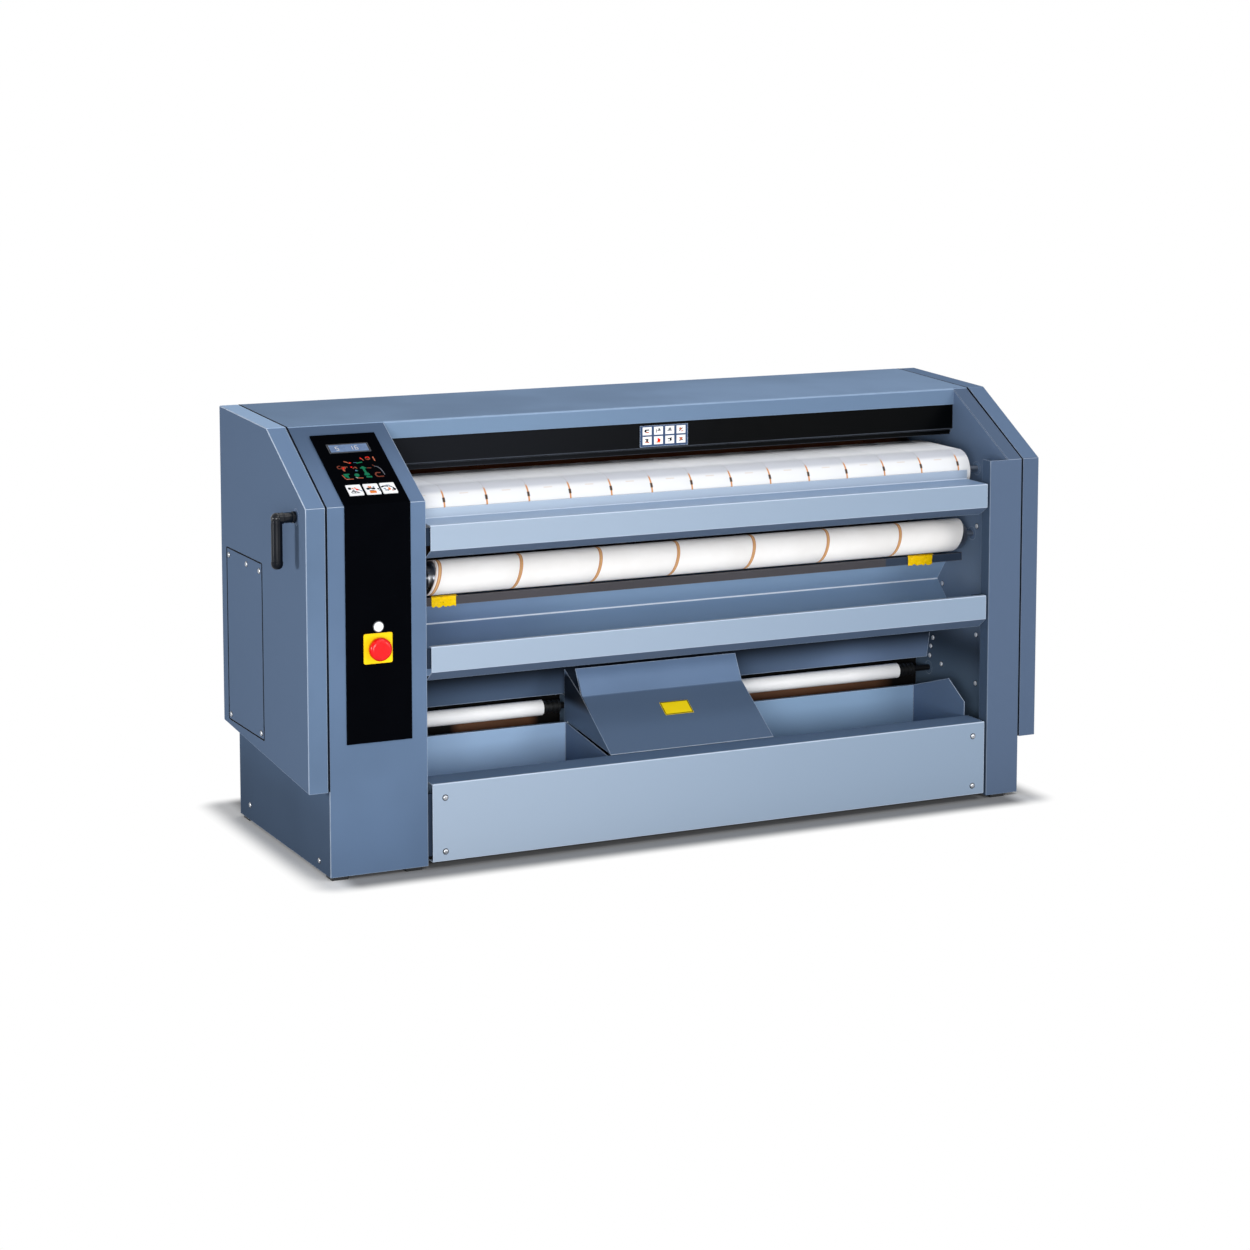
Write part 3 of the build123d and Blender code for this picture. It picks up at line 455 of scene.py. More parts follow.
coat("blackPaint", (8, 9, 11), roughness=0.36, specular=0.02, edgeTone=blackEdge, shade=fasciaTone, bent=True)
# the roller bushes take the side plates' painted shade
coat("bushPaint", (90, 108, 134), edgeTone=(70, 85, 106), shade=frameTone)
coat("noticePaint", (255, 220, 24), roughness=0.38, peel=0.6, edgeTone=(24, 20, 8))
coat("bluePlate", (44, 66, 100), roughness=0.32, peel=0.3)
coat("yellowPaint", (250, 205, 20), roughness=0.38, peel=0.6, edgeTone=(150, 118, 20))
coat("tagPaint", (254, 208, 6), roughness=0.34, edgeTone=(150, 96, 18), shade=tagTone)
coat("scraperPaint", (74, 72, 76), roughness=0.45, edgeTone=(120, 118, 120), shade=scraperTone)
coat("castPaint", (70, 74, 78), roughness=0.55, peel=6.0, edgeTone=(110, 112, 116))
coat("brownSheet", (20, 19, 19), roughness=0.5, edgeTone=(60, 52, 48), shade=baffleTone)


def moulded(name, colour, roughness, specular=0.4, coatWeight=0.0, grainScale=900.0, grainDepth=0.00003):
    look = Look(name)
    grain = look.bump(look.noise(grainScale), grainDepth)
    handled = look.noise(14.0, 4.0, 0.6)
    tone = look.mix(look.step(handled, 0.35, 0.65), cast(paint(*colour), 0.9), paint(*colour))
    look.finish(tone, roughness + (handled - 0.5) * 0.12, specular, grain, coatWeight=coatWeight)


moulded("blackPlastic", (22, 23, 25), 0.42)
moulded("panelFilm", (5, 6, 9), 0.30, specular=0.0, grainScale=1500.0, grainDepth=0.00001)
# dark strips for the shaded joints: painted shade
moulded("seamShade", (8, 10, 14), 0.6, specular=0.02)
moulded("crankPlastic", (5, 9, 17), 0.36, specular=0.10, grainScale=420.0, grainDepth=0.00025)
moulded("crankGloss", (4, 8, 16), 0.20, specular=0.25, coatWeight=0.08)
moulded("bushPlastic", (84, 102, 130), 0.5, specular=0.05)
moulded("bracketPaint", (46, 58, 76), 0.5, specular=0.05)
moulded("redPlastic", (222, 6, 14), 0.26, specular=0.25, coatWeight=0.15)
moulded("keyPlastic", (236, 237, 240), 0.30, coatWeight=0.2)
moulded("lampWhite", (245, 246, 248), 0.18, coatWeight=0.5)
moulded("collarPlastic", (60, 63, 68), 0.30)

inks = {
    "red": (244, 14, 6),
    "tan": (178, 96, 68),
    "green": (0, 108, 74),
    "pale": (214, 210, 204),
    "blue": (72, 108, 142),
    "dark": (12, 14, 22),
    "grey": (104, 106, 112),
    "amber": (232, 128, 50),
    "brown": (120, 56, 40),
    "hook": (108, 111, 122),
    "white": (238, 238, 240),
}


def inkFinish(ink):
    return finishes["print" + ink.title()]


for ink, colour in inks.items():
    moulded("print" + ink.title(), colour, 0.4, specular=0.03)

sleeve = {
    "axis": (400.0, 284.0),          # y and z in machine millimetres
    "ends": (0.0170, 0.0200),        # metres from the axis where the black shaft turns into white sleeve
    "shaft": paint(16, 16, 18),
    "whites": (paint(247, 247, 247), paint(254, 254, 254)),
}
look = Look("rollerSleeve")
reach = look.distance(look.y - placeY(sleeve["axis"][0]), look.z - sleeve["axis"][1] / 1000)
rubbed = look.noise(40.0, 4.0, 0.6, (0.3, 1.0, 1.0))
tone = look.mix(look.step(reach, *sleeve["ends"]), sleeve["shaft"], look.mottled(rubbed, *sleeve["whites"]))
look.finish(tone, 0.38 + (rubbed - 0.5) * 0.2, 0.3, look.bump(look.noise(320.0), 0.00003))

display = {
    "middle": (0.1305, 0.2250),           # metres across the column and up its slope
    "screen": (0.0500, 0.0140, 0.0008),   # half width, half height and softness
    "border": (0.0535, 0.0165, 0.0005),
    "screenTones": (paint(80, 104, 142), paint(94, 120, 158)),
    "borderTone": paint(20, 23, 29),
    "rimTone": paint(58, 64, 74),
}
look = Look("displayGlass")
across = look.x - placeX(0)
up = (look.y - placeY(0)) * slopeBack + (look.z - machine["foldHeight"] / 1000) * slopeUp
middle, height = display["middle"]
masks = []
for wide, high, soft in (display["screen"], display["border"]):
    masks.append(look.band(across, middle, wide, soft) * look.band(up, height, high, soft))
streaks = look.noise(60.0, 3.0, 0.6)
tone = look.mix(masks[1], display["rimTone"], display["borderTone"])
tone = look.mix(masks[0], tone, look.mottled(streaks, *display["screenTones"]))
look.finish(tone, 0.14 + (streaks - 0.5) * 0.05, 0.1)


def metal(name, colour, roughness, stretch=(1.0, 1.0, 1.0), lineScale=400.0, metallic=1.0):
    look = Look(name)
    lines = look.noise(lineScale, 2.0, 0.6, stretch)
    cloud = look.noise(9.0, 3.0)
    tone = look.mottled(lines, cast(paint(*colour), 0.8), paint(*colour))
    rough = roughness + (cloud - 0.5) * 0.15
    look.finish(tone, rough, normal=look.bump(lines, 0.00002), metallic=metallic)


metal("rollerSteel", (190, 192, 196), 0.30, (30.0, 1.0, 1.0))
metal("plainSteel", (150, 148, 146), 0.38, (1.0, 8.0, 8.0), 200.0)
metal("screwSteel", (176, 179, 184), 0.30, metallic=0.85)
# a paler, less metallic copy of the screw steel for the side plates' screws: painted light for heads that sit
# in shade
metal("paleScrewSteel", (205, 210, 218), 0.45, metallic=0.2)
metal("washerSteel", (60, 63, 68), 0.45)
metal("heatedSteel", (104, 76, 56), 0.30, (60.0, 1.0, 1.0))

bare = set(nodes)
for finish, names in dressing.items():
    for name in names:
        nodes[name].data.materials.clear()
        nodes[name].data.materials.append(finishes[finish])
        bare.remove(name)
print("finishes:", len(finishes), "nodes without one:", sorted(bare))


def settle(name, mesh, materials, body="machine", replaces=(), smoothDegrees=35.0):
    data = bpy.data.meshes.new(name)
    mesh.to_mesh(data)
    mesh.free()
    data.shade_smooth()
    data.set_sharp_from_angle(angle=math.radians(smoothDegrees))
    for material in materials:
        data.materials.append(material)
    piece = bpy.data.objects.new(name, data)
    bpy.context.scene.collection.objects.link(piece)
    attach(piece, body)
    if replaces:
        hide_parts(*replaces)


def pour(part, mesh):  # empties one bmesh into another
    spare = bpy.data.meshes.new("spare")
    part.to_mesh(spare)
    part.free()
    mesh.from_mesh(spare)
    bpy.data.meshes.remove(spare)


def colourFaces(made, number):  # gives what an operator has made one material slot
    for face in {face for vert in made["verts"] for face in vert.link_faces}:
        face.material_index = number


def facing(across, up, out, origin):  # millimetres across, up and out of a face, to scene metres
    turn = Matrix((across, up, out)).transposed().to_4x4()
    return Matrix.Translation(origin) @ turn @ Matrix.Scale(0.001, 4)


fold = place(0, 0, machine["foldHeight"])
onSlope = facing((1, 0, 0), (0, slopeBack, slopeUp), (0, -slopeUp, slopeBack), fold)


def onFront(y):  # across is x, up is z, out is towards the operator
    return facing((1, 0, 0), (0, 0, 1), (0, -1, 0), place(0, y, 0))


def onLeftward(x):  # a face that looks to the left: across runs towards the operator
    return facing((0, -1, 0), (0, 0, 1), (-1, 0, 0), place(x, 0, 0))


def onRightward(x):
    return facing((0, 1, 0), (0, 0, 1), (1, 0, 0), place(x, 0, 0))


def bar(mesh, frameOf, start, end, width, low, high, number=0):
    middle = Vector(((start[0] + end[0]) / 2, (start[1] + end[1]) / 2, (low + high) / 2))
    run = Vector((end[0] - start[0], end[1] - start[1]))
    turn = Matrix.Rotation(math.atan2(run.y, run.x), 4, "Z")
    size = Matrix.Diagonal((run.length, width, high - low, 1.0))
    where = frameOf @ Matrix.Translation(middle) @ turn @ size
    colourFaces(bmesh.ops.create_cube(mesh, size=1.0, matrix=where), number)


def disc(mesh, frameOf, centre, radius, low, high, number=0, segments=20, taper=0.9):
    where = frameOf @ Matrix.Translation((*centre, (low + high) / 2))
    made = bmesh.ops.create_cone(
        mesh,
        cap_ends=True,
        segments=segments,
        radius1=radius,
        radius2=radius * taper,
        depth=high - low,
        matrix=where,
    )
    colourFaces(made, number)


def ring(mesh, frameOf, centre, radius, width, low, high, number, start, sweep, steps=20):
    points = []
    for step in range(steps + 1):
        angle = math.radians(start + sweep * step / steps)
        points.append((centre[0] + radius * math.cos(angle), centre[1] + radius * math.sin(angle)))
    for first, second in zip(points, points[1:]):
        bar(mesh, frameOf, first, second, width, low, high, number)


def spun(profile, steps):  # a profile of radius and distance, spun about its axis
    lathe = bmesh.new()
    ends = [lathe.verts.new((radius, 0, away)) for radius, away in profile]
    outline = [lathe.edges.new(pair) for pair in zip(ends, ends[1:])]
    bmesh.ops.spin(
        lathe,
        geom=ends + outline,
        cent=(0, 0, 0),
        axis=(0, 0, 1),
        angle=2 * math.pi,
        steps=steps,
        use_merge=True,
    )
    bmesh.ops.remove_doubles(lathe, verts=lathe.verts[:], dist=0.01)
    return lathe


feed = {
    "nose": (160.0, 888.0, 57.0),      # y, z, radius of the belt's outer face
    "rear": (365.0, 925.0, 20.0),
    "left": 296.0,
    "right": 1900.0,
    "firstGap": 352.0,
    "pitch": 116.2,
    "gaps": 14,
    "gapWidth": 0.6,
    "thickness": 2.5,
    "steps": (40, 18),                 # how finely the nose and the rear turn
    "rimRound": 0.25,
    "dashHalf": 11.0,                  # the short faint marks in each belt's middle
}

iron = {
    "exit": (180.0, 704.0, 42.0),      # y, z and radius of each roller
    "lowerReturn": (620.0, 610.0, 20.0),
    "upperReturn": (620.0, 1000.0, 20.0),
    "entry": (505.0, 972.0, 25.0),
    "cylinder": (500.0, 815.0, 125.0),
    "steps": (30, 14, 16, 16, 64),
    "firstLeft": 338.0,
    "left": 350.0,                     # where the belts' even spacing starts
    "right": 1900.0,
    "pitch": 225.0,
    "gapWidth": 1.0,
    "belts": 7,
    "thickness": 2.5,
    "clearance": 0.3,
    "lean": 11.7,                      # how far the belts' edges wander round the exit roller
    "leanMiddle": -2.2,
    "leanEnds": (240.0, 420.0),        # y where the wandering begins to die away, and where it ends
    "rimRound": 0.9,
}


def contacts(rounds):  # where the band meets and leaves each turn, given by its centre and signed radius
    leaving = []
    arriving = []
    for index, (centre, radius) in enumerate(rounds):
        after, afterRadius = rounds[(index + 1) % len(rounds)]
        gap = after - centre
        normal = math.atan2(gap.y, gap.x) + math.acos((afterRadius - radius) / gap.length)
        side = Vector((math.cos(normal), math.sin(normal)))
        leaving.append(centre - radius * side)
        arriving.append(after - afterRadius * side)
    return arriving[-1:] + arriving[:-1], leaving


def band(mesh, rounds, left, right, belt):
    # One endless belt: arcs are spun about each roller, joined, drawn out along x and given thickness.
    rounds = [(Vector((y, z)), radius) for y, z, radius in rounds]
    loop = bmesh.new()
    seeds = []
    lasts = []
    for (centre, radius), start, end, count in zip(rounds, *contacts(rounds), belt["steps"]):
        first = math.atan2(start.y - centre.y, start.x - centre.x)
        last = math.atan2(end.y - centre.y, end.x - centre.x)
        sweep = (last - first) % (2 * math.pi)
        if radius < 0:
            sweep -= 2 * math.pi
        seeds.append(loop.verts.new(place(left, start.x, start.y)))
        middle = place(left, centre.x, centre.y)
        spin = bmesh.ops.spin(loop, geom=seeds[-1:], cent=middle, axis=(1, 0, 0), angle=sweep, steps=count)
        lasts.append(next(made for made in spin["geom_last"] if isinstance(made, bmesh.types.BMVert)))
    for last, seed in zip(lasts, seeds[1:] + seeds[:1]):
        loop.edges.new((last, seed))
    drawn = bmesh.ops.extrude_edge_only(loop, edges=loop.edges[:])
    moved = [made for made in drawn["geom"] if isinstance(made, bmesh.types.BMVert)]
    bmesh.ops.translate(loop, verts=moved, vec=((right - left) / 1000, 0, 0))
    bmesh.ops.recalc_face_normals(loop, faces=loop.faces[:])
    bmesh.ops.solidify(loop, geom=loop.faces[:], thickness=belt["thickness"] / 1000)
    rims = []
    for edge in loop.edges:
        ways = [abs(face.normal.x) for face in edge.link_faces]
        level = len({round(vert.co.x, 5) for vert in edge.verts}) == 1
        if level and max(ways) > 0.9 and min(ways) < 0.1:
            rims.append(edge)
    bmesh.ops.bevel(
        loop,
        geom=rims,
        offset=belt["rimRound"] / 1000,
        segments=2,
        affect="EDGES",
        profile=0.5,
        material=-1,
    )
    pour(loop, mesh)


def wander(mesh):  # the ironing belts' edges run aslant round the exit roller
    y, z, radius = iron["exit"]
    first, last = [placeY(end) for end in iron["leanEnds"]]
    for vert in mesh.verts:
        high = max(-1.0, min(1.0, (vert.co.z * 1000 - z) / radius))
        share = max(0.0, min(1.0, (last - vert.co.y) / (last - first)))
        vert.co.x += (iron["leanMiddle"] + iron["lean"] * high) * share / 1000


def feltLook(name, light, dim):  # its own material, its plain tone and its weave
    look = Look(name)
    weave = look.noise(1100.0, 2.0, 0.6)
    ribs = look.noise(260.0, stretch=(0.15, 1.0, 1.0))
    cloud = look.noise(6.0, 4.0, 0.6)
    return look, look.mottled(cloud, paint(*dim), paint(*light)), look.bump(weave * 0.6 + ribs * 0.4, 0.00025)


def gapDistance(look, firstGap, pitch, aslant=0.0):  # metres from the nearest gap between two belts
    start = placeX(firstGap) - pitch / 2000
    return abs((look.x - aslant - start) % (pitch / 1000) - pitch / 2000)


feltSurface = {"roughness": 0.88, "specular": 0.2}

look, tone, weave = feltLook("feedWeb", (250, 251, 253), (240, 242, 247))
# Painted shade: greyer towards the nose and greyer still on it, evening out where the lamps light the belts
# most
tone = look.mix(1 - look.stepY(128, 200), tone, paint(190, 193, 201))
tone = look.mix(1 - look.stepY(116, 128), tone, paint(221, 222, 224))
fromGap = gapDistance(look, feed["firstGap"], feed["pitch"])
fromMiddle = gapDistance(look, feed["firstGap"] + feed["pitch"] / 2, feed["pitch"])
onNose = 1 - look.stepY(122, 132)
edgeLine = 1 - look.step(fromGap, 0.0018, 0.0030)
tone = look.mix(edgeLine * (0.02 + onNose * 0.86), tone, paint(206, 136, 62))
# painted shade in the gaps between the belts, low on the nose
spot = look.bandZ(913.5, 4.8, 1.5) * onNose * (1 - look.step(fromGap, 0.0030, 0.0042))
tone = look.mix(spot * 0.9, tone, paint(44, 36, 32))
dashes = look.bandZ(941.5, 0.8, 1.0) + look.bandZ(926.5, 0.8, 1.0)
dashes = dashes * onNose * look.band(fromMiddle, 0.0, feed["dashHalf"] / 1000, 0.002)
tone = look.mix(look.clamp(dashes) * 0.5, tone, paint(205, 188, 174))
look.finish(tone, normal=weave, **feltSurface)

look, tone, weave = feltLook("ironingFelt", (247, 245, 243), (241, 238, 235))
high = look.clamp((look.z - iron["exit"][1] / 1000) / (iron["exit"][2] / 1000), -1.0, 1.0)
first, last = [placeY(end) for end in iron["leanEnds"]]
share = look.clamp((last - look.y) / (last - first))
aslant = (iron["leanMiddle"] + iron["lean"] * high) * share / 1000
fromGap = gapDistance(look, iron["left"] - iron["gapWidth"] / 2, iron["pitch"], aslant)
middle = 1 - look.step(fromGap, 0.0016, 0.0034)
fray = look.noise(420.0, 3.0, 0.7)
threads = look.mix(look.clamp(middle + (fray - 0.5) * 0.8), paint(184, 112, 50), paint(226, 176, 118))
tone = look.mix((1 - look.step(fromGap, 0.0042, 0.0052)) * 0.95, tone, threads)
rimLine = 1 - look.step(look.x - aslant, placeX(iron["firstLeft"] + 2), placeX(iron["firstLeft"] + 4))
tone = look.mix(rimLine * 0.35, tone, paint(176, 120, 84))
# painted shade: brown where the belts show in shade through the slit behind the fascia
nipShade = look.stepY(405, 425) * look.stepZ(890, 905) * (1 - look.stepY(545, 575))
tone = look.mix(nipShade, tone, paint(126, 82, 52))
look.finish(tone, normal=weave, **feltSurface)

feedMesh = bmesh.new()
gaps = [feed["firstGap"] + feed["pitch"] * step for step in range(feed["gaps"])]
edgesLeft = [feed["left"]] + [gap + feed["gapWidth"] / 2 for gap in gaps]
edgesRight = [gap - feed["gapWidth"] / 2 for gap in gaps] + [feed["right"]]
for left, right in zip(edgesLeft, edgesRight):
    band(feedMesh, [feed["nose"], feed["rear"]], left, right, feed)
settle("feedBelts", feedMesh, [finishes["feedWeb"]], replaces=["feed_belts"])

ironMesh = bmesh.new()
outward = iron["clearance"] + iron["thickness"]
ironRounds = []
for roller in ("exit", "lowerReturn", "upperReturn", "entry"):
    y, z, radius = iron[roller]
    ironRounds.append((y, z, radius + outward))
y, z, radius = iron["cylinder"]
ironRounds.append((y, z, -(radius + iron["clearance"])))
for index in range(iron["belts"]):
    even = iron["left"] + iron["pitch"] * index
    left = even if index else iron["firstLeft"]
    right = iron["right"] if index == iron["belts"] - 1 else even + iron["pitch"] - iron["gapWidth"]
    band(ironMesh, ironRounds, left, right, iron)
wander(ironMesh)
settle("ironingBelts", ironMesh, [finishes["ironingFelt"]], replaces=["ironing_belts"])
print("belts: feed and ironing bands")

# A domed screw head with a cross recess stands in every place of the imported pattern.
screw = {
    "profile": [(6.6, 0.6), (6.5, 1.5), (5.9, 2.3), (4.7, 2.95), (3.0, 3.25), (0.9, 3.3)],
    "washer": (8.2, 0.6),              # radius and thickness of the dark washer under the head
    "washerSink": 0.1,
    "slots": 32,
    "recessDepth": 1.2,
    "recessReach": 3.1,
    "recessFrom": 3.0,                 # only faces above this height are sunk
    "armDegrees": 12,                  # half the width of an arm of the cross
    "hub": 0.5,
    "shankRadius": 3.0,
    "shankLength": 9.0,
    # y and z of the screws on the side plates, the column's side and the access panel,
    # and x and z of those on the front panel
    "plate": [(154, 727), (331, 538), (150, 423), (331, 306), (150, 286), (377, 374), (388, 348), (393, 320)],
    "column": [(617, 49), (80, 33)],
    "access": [(598, 728), (456, 726), (354, 724), (598, 304), (354, 304)],
    "panel": [(303, 180), (303, 42), (1850, 180), (1850, 42)],
    "plateFaces": (1956.0, 260.0),
    "panelFace": -8.0,
    "metals": ["screwSteel", "washerSteel", "paleScrewSteel"],
}


def screwHead():
    head = spun(screw["profile"], screw["slots"])
    rims = [edge for edge in head.edges if edge.is_boundary]
    bmesh.ops.holes_fill(head, edges=rims, sides=screw["slots"])
    bmesh.ops.recalc_face_normals(head, faces=head.faces[:])
    arms = []
    for face in head.faces:
        middle = face.calc_center_median()
        reach = math.hypot(middle.x, middle.y)
        quarter = math.atan2(middle.y, middle.x) % (math.pi / 2)
        aside = min(quarter, math.pi / 2 - quarter)
        onArm = aside < math.radians(screw["armDegrees"]) and reach < screw["recessReach"]
        if middle.z > screw["recessFrom"] and (reach < screw["hub"] or onArm):
            arms.append(face)
    sunk = bmesh.ops.extrude_face_region(head, geom=arms)
    bmesh.ops.delete(head, geom=arms, context="FACES")
    low = [made for made in sunk["geom"] if isinstance(made, bmesh.types.BMVert)]
    bmesh.ops.translate(head, verts=low, vec=(0, 0, -screw["recessDepth"]))
    upright = Matrix.Identity(4)
    disc(head, upright, (0, 0), screw["shankRadius"], -screw["shankLength"], 0, segments=16, taper=1.0)
    radius, thickness = screw["washer"]
    disc(head, upright, (0, 0), radius, -screw["washerSink"], thickness, 1, screw["slots"], 0.96)
    made = bpy.data.meshes.new("screwPattern")
    head.to_mesh(made)
    head.free()
    return made


pattern = screwHead()
screwMesh = bmesh.new()
turner = random.Random(7)


def addScrew(frameOf, across, up, number=0):
    verts = len(screwMesh.verts)
    faces = len(screwMesh.faces)
    screwMesh.from_mesh(pattern)
    screwMesh.verts.ensure_lookup_table()
    screwMesh.faces.ensure_lookup_table()
    for face in screwMesh.faces[faces:]:
        if face.material_index == 0:
            face.material_index = number
    spin = Matrix.Rotation(turner.uniform(0, math.pi / 2), 4, "Z")
    where = frameOf @ Matrix.Translation((across, up, 0)) @ spin
    bmesh.ops.transform(screwMesh, matrix=where, verts=screwMesh.verts[verts:])


# the side plates' screws take the paler steel: painted light
for y, z in screw["plate"]:
    addScrew(onLeftward(screw["plateFaces"][0]), -y, z, number=2)
    addScrew(onRightward(screw["plateFaces"][1]), y, z, number=2)
for y, z in screw["column"]:
    addScrew(onLeftward(0), -y, z)
for y, z in screw["access"]:
    addScrew(onLeftward(machine["coverFace"]), -y, z)
for x, z in screw["panel"]:
    addScrew(onFront(screw["panelFace"]), x, z)
bpy.data.meshes.remove(pattern)
screwMetals = [finishes[steel] for steel in screw["metals"]]
settle("roundHeadScrews", screwMesh, screwMetals, replaces=["round_head_screws"])
print("screws: heads with cross recesses")

# Printed marks: thin raised film, in millimetres across a face and up it.
prints = {
    "inks": [ink for ink in inks if ink != "white"],
    "panelFace": (2.95, 3.20),         # how deep a mark's foot and how high its face stand
    "screenFace": (3.95, 4.15),
    "keyFace": (4.75, 4.95),
    "sink": 0.002,                     # each bar's face lies this much lower than the one before
    "dotProud": 0.05,
    "ringProud": 0.02,
    "keyBold": 1.45,                   # how much bolder the bars on the keys are
    "panelBars": [
        # ink, start, end, width
        ("tan", 147, 185, 153, 172, 1.6), ("tan", 181, 185, 182, 168, 3.2),
        ("red", 181, 182, 182, 174, 1.2), ("green", 131, 163, 147, 166, 3.6),
        ("blue", 124, 166, 132, 166, 1.4), ("tan", 100, 173, 108, 168, 3.0),
        ("tan", 108, 168, 114, 163, 2.0), ("brown", 86, 151, 103, 150, 4.0),
        ("tan", 88, 140, 92, 134, 3.0), ("brown", 115, 142, 122, 149, 3.0),
        ("tan", 122, 149, 126, 142, 1.8), ("green", 142, 142, 143, 124, 6.4),
        ("green", 134, 143, 150, 142, 4.2), ("green", 137, 116, 151, 116, 6.0),
        ("green", 139, 107, 154, 106, 6.0), ("dark", 141, 122, 147, 112, 1.4),
        ("brown", 152, 142, 163, 141, 2.4), ("brown", 169, 153, 173, 147, 1.8),
        ("hook", 172, 148, 180, 144, 1.8), ("hook", 180, 144, 185, 137, 2.2),
        ("hook", 185, 137, 188, 124, 2.4), ("hook", 188, 124, 189, 111, 1.8),
        ("brown", 180, 120, 169, 121, 3.4), ("brown", 169, 121, 165, 113, 3.8),
        ("brown", 165, 113, 169, 105, 3.8), ("brown", 169, 105, 185, 105, 3.4),
        ("tan", 167, 118, 166, 112, 1.8), ("tan", 79, 119, 84, 103, 2.0),
        ("tan", 84, 102, 104, 101, 2.2), ("pale", 86, 101, 92, 101, 1.0),
        ("green", 83, 121, 99, 121, 4.0), ("green", 88, 114, 94, 105, 5.0),
        ("pale", 112, 108, 116, 104, 1.6), ("tan", 114, 105, 130, 103, 2.4),
    ],
    "panelDots": [
        # ink, centre, radius
        ("red", 148, 181, 2.4), ("red", 163, 184, 2.2), ("red", 169, 184, 2.2), ("red", 115, 166, 2.4),
        ("red", 91, 146, 3.0), ("red", 113, 149, 2.4), ("green", 142, 144, 5.2),
        ("green", 144, 118, 6.4), ("green", 89, 115, 6.2), ("green", 117, 116, 6.6),
        ("blue", 121, 134, 2.8), ("green", 124, 133, 2.0),
    ],
    "panelRings": [
        # ink, centre, radius, width, start, sweep
        ("brown", 166, 180, 5.6, 2.6, 0, 360), ("tan", 167, 180, 3.4, 1.2, 200, 200),
        ("brown", 82, 150, 5.4, 2.6, 60, 250), ("tan", 91, 147, 5.4, 1.4, 200, 200),
        ("pale", 117, 115, 2.6, 1.2, 0, 360),
    ],
    "digits": [("5", 96.0), ("1", 133.0), ("6", 147.0)],  # figure and left edge
    "digitFoot": 217.5,
    "digitHeight": 14.0,
    "digitStroke": 1.3,
    "segments": {"1": "bc", "5": "acdfg", "6": "acdefg"},
}


def printed(
    name,
    frameOf,
    low,
    high,
    slot,
    body="machine",
    bars=(),
    dots=(),
    rings=(),
    digits=(),
    bold=1.0,
):
    mesh = bmesh.new()
    number = prints["inks"].index
    for step, (ink, *ends, width) in enumerate(bars):
        top = high - prints["sink"] * step
        bar(mesh, frameOf, ends[:2], ends[2:], width * bold, low, top, number(ink))
    for ink, *centre, radius in dots:
        disc(mesh, frameOf, centre, radius, low, high + prints["dotProud"], number(ink))
    for ink, *centre, radius, width, start, sweep in rings:
        ring(mesh, frameOf, centre, radius, width, low, high + prints["ringProud"], number(ink), start, sweep)
    for figure, left in digits:
        for start, end in digitRuns(figure, left):
            bar(mesh, frameOf, start, end, prints["digitStroke"], low, high, number("pale"))
    settle(name, mesh, [inkFinish(ink) for ink in prints["inks"]], body)


def digitRuns(figure, left):
    foot = prints["digitFoot"]
    middle, top = foot + prints["digitHeight"] / 2, foot + prints["digitHeight"]
    right = left + prints["digitHeight"] / 2
    runs = {
        "a": ((left, top), (right, top)),
        "b": ((right, middle), (right, top)),
        "c": ((right, foot), (right, middle)),
        "d": ((left, foot), (right, foot)),
        "e": ((left, foot), (left, middle)),
        "f": ((left, middle), (left, top)),
        "g": ((left, middle), (right, middle)),
    }
    return [runs[letter] for letter in prints["segments"][figure]]


panelArt = {"bars": prints["panelBars"], "dots": prints["panelDots"], "rings": prints["panelRings"]}
printed("panelMarks", onSlope, *prints["panelFace"], "black_panel", **panelArt)
printed("screenDigits", onSlope, *prints["screenFace"], "display_glass", digits=prints["digits"])

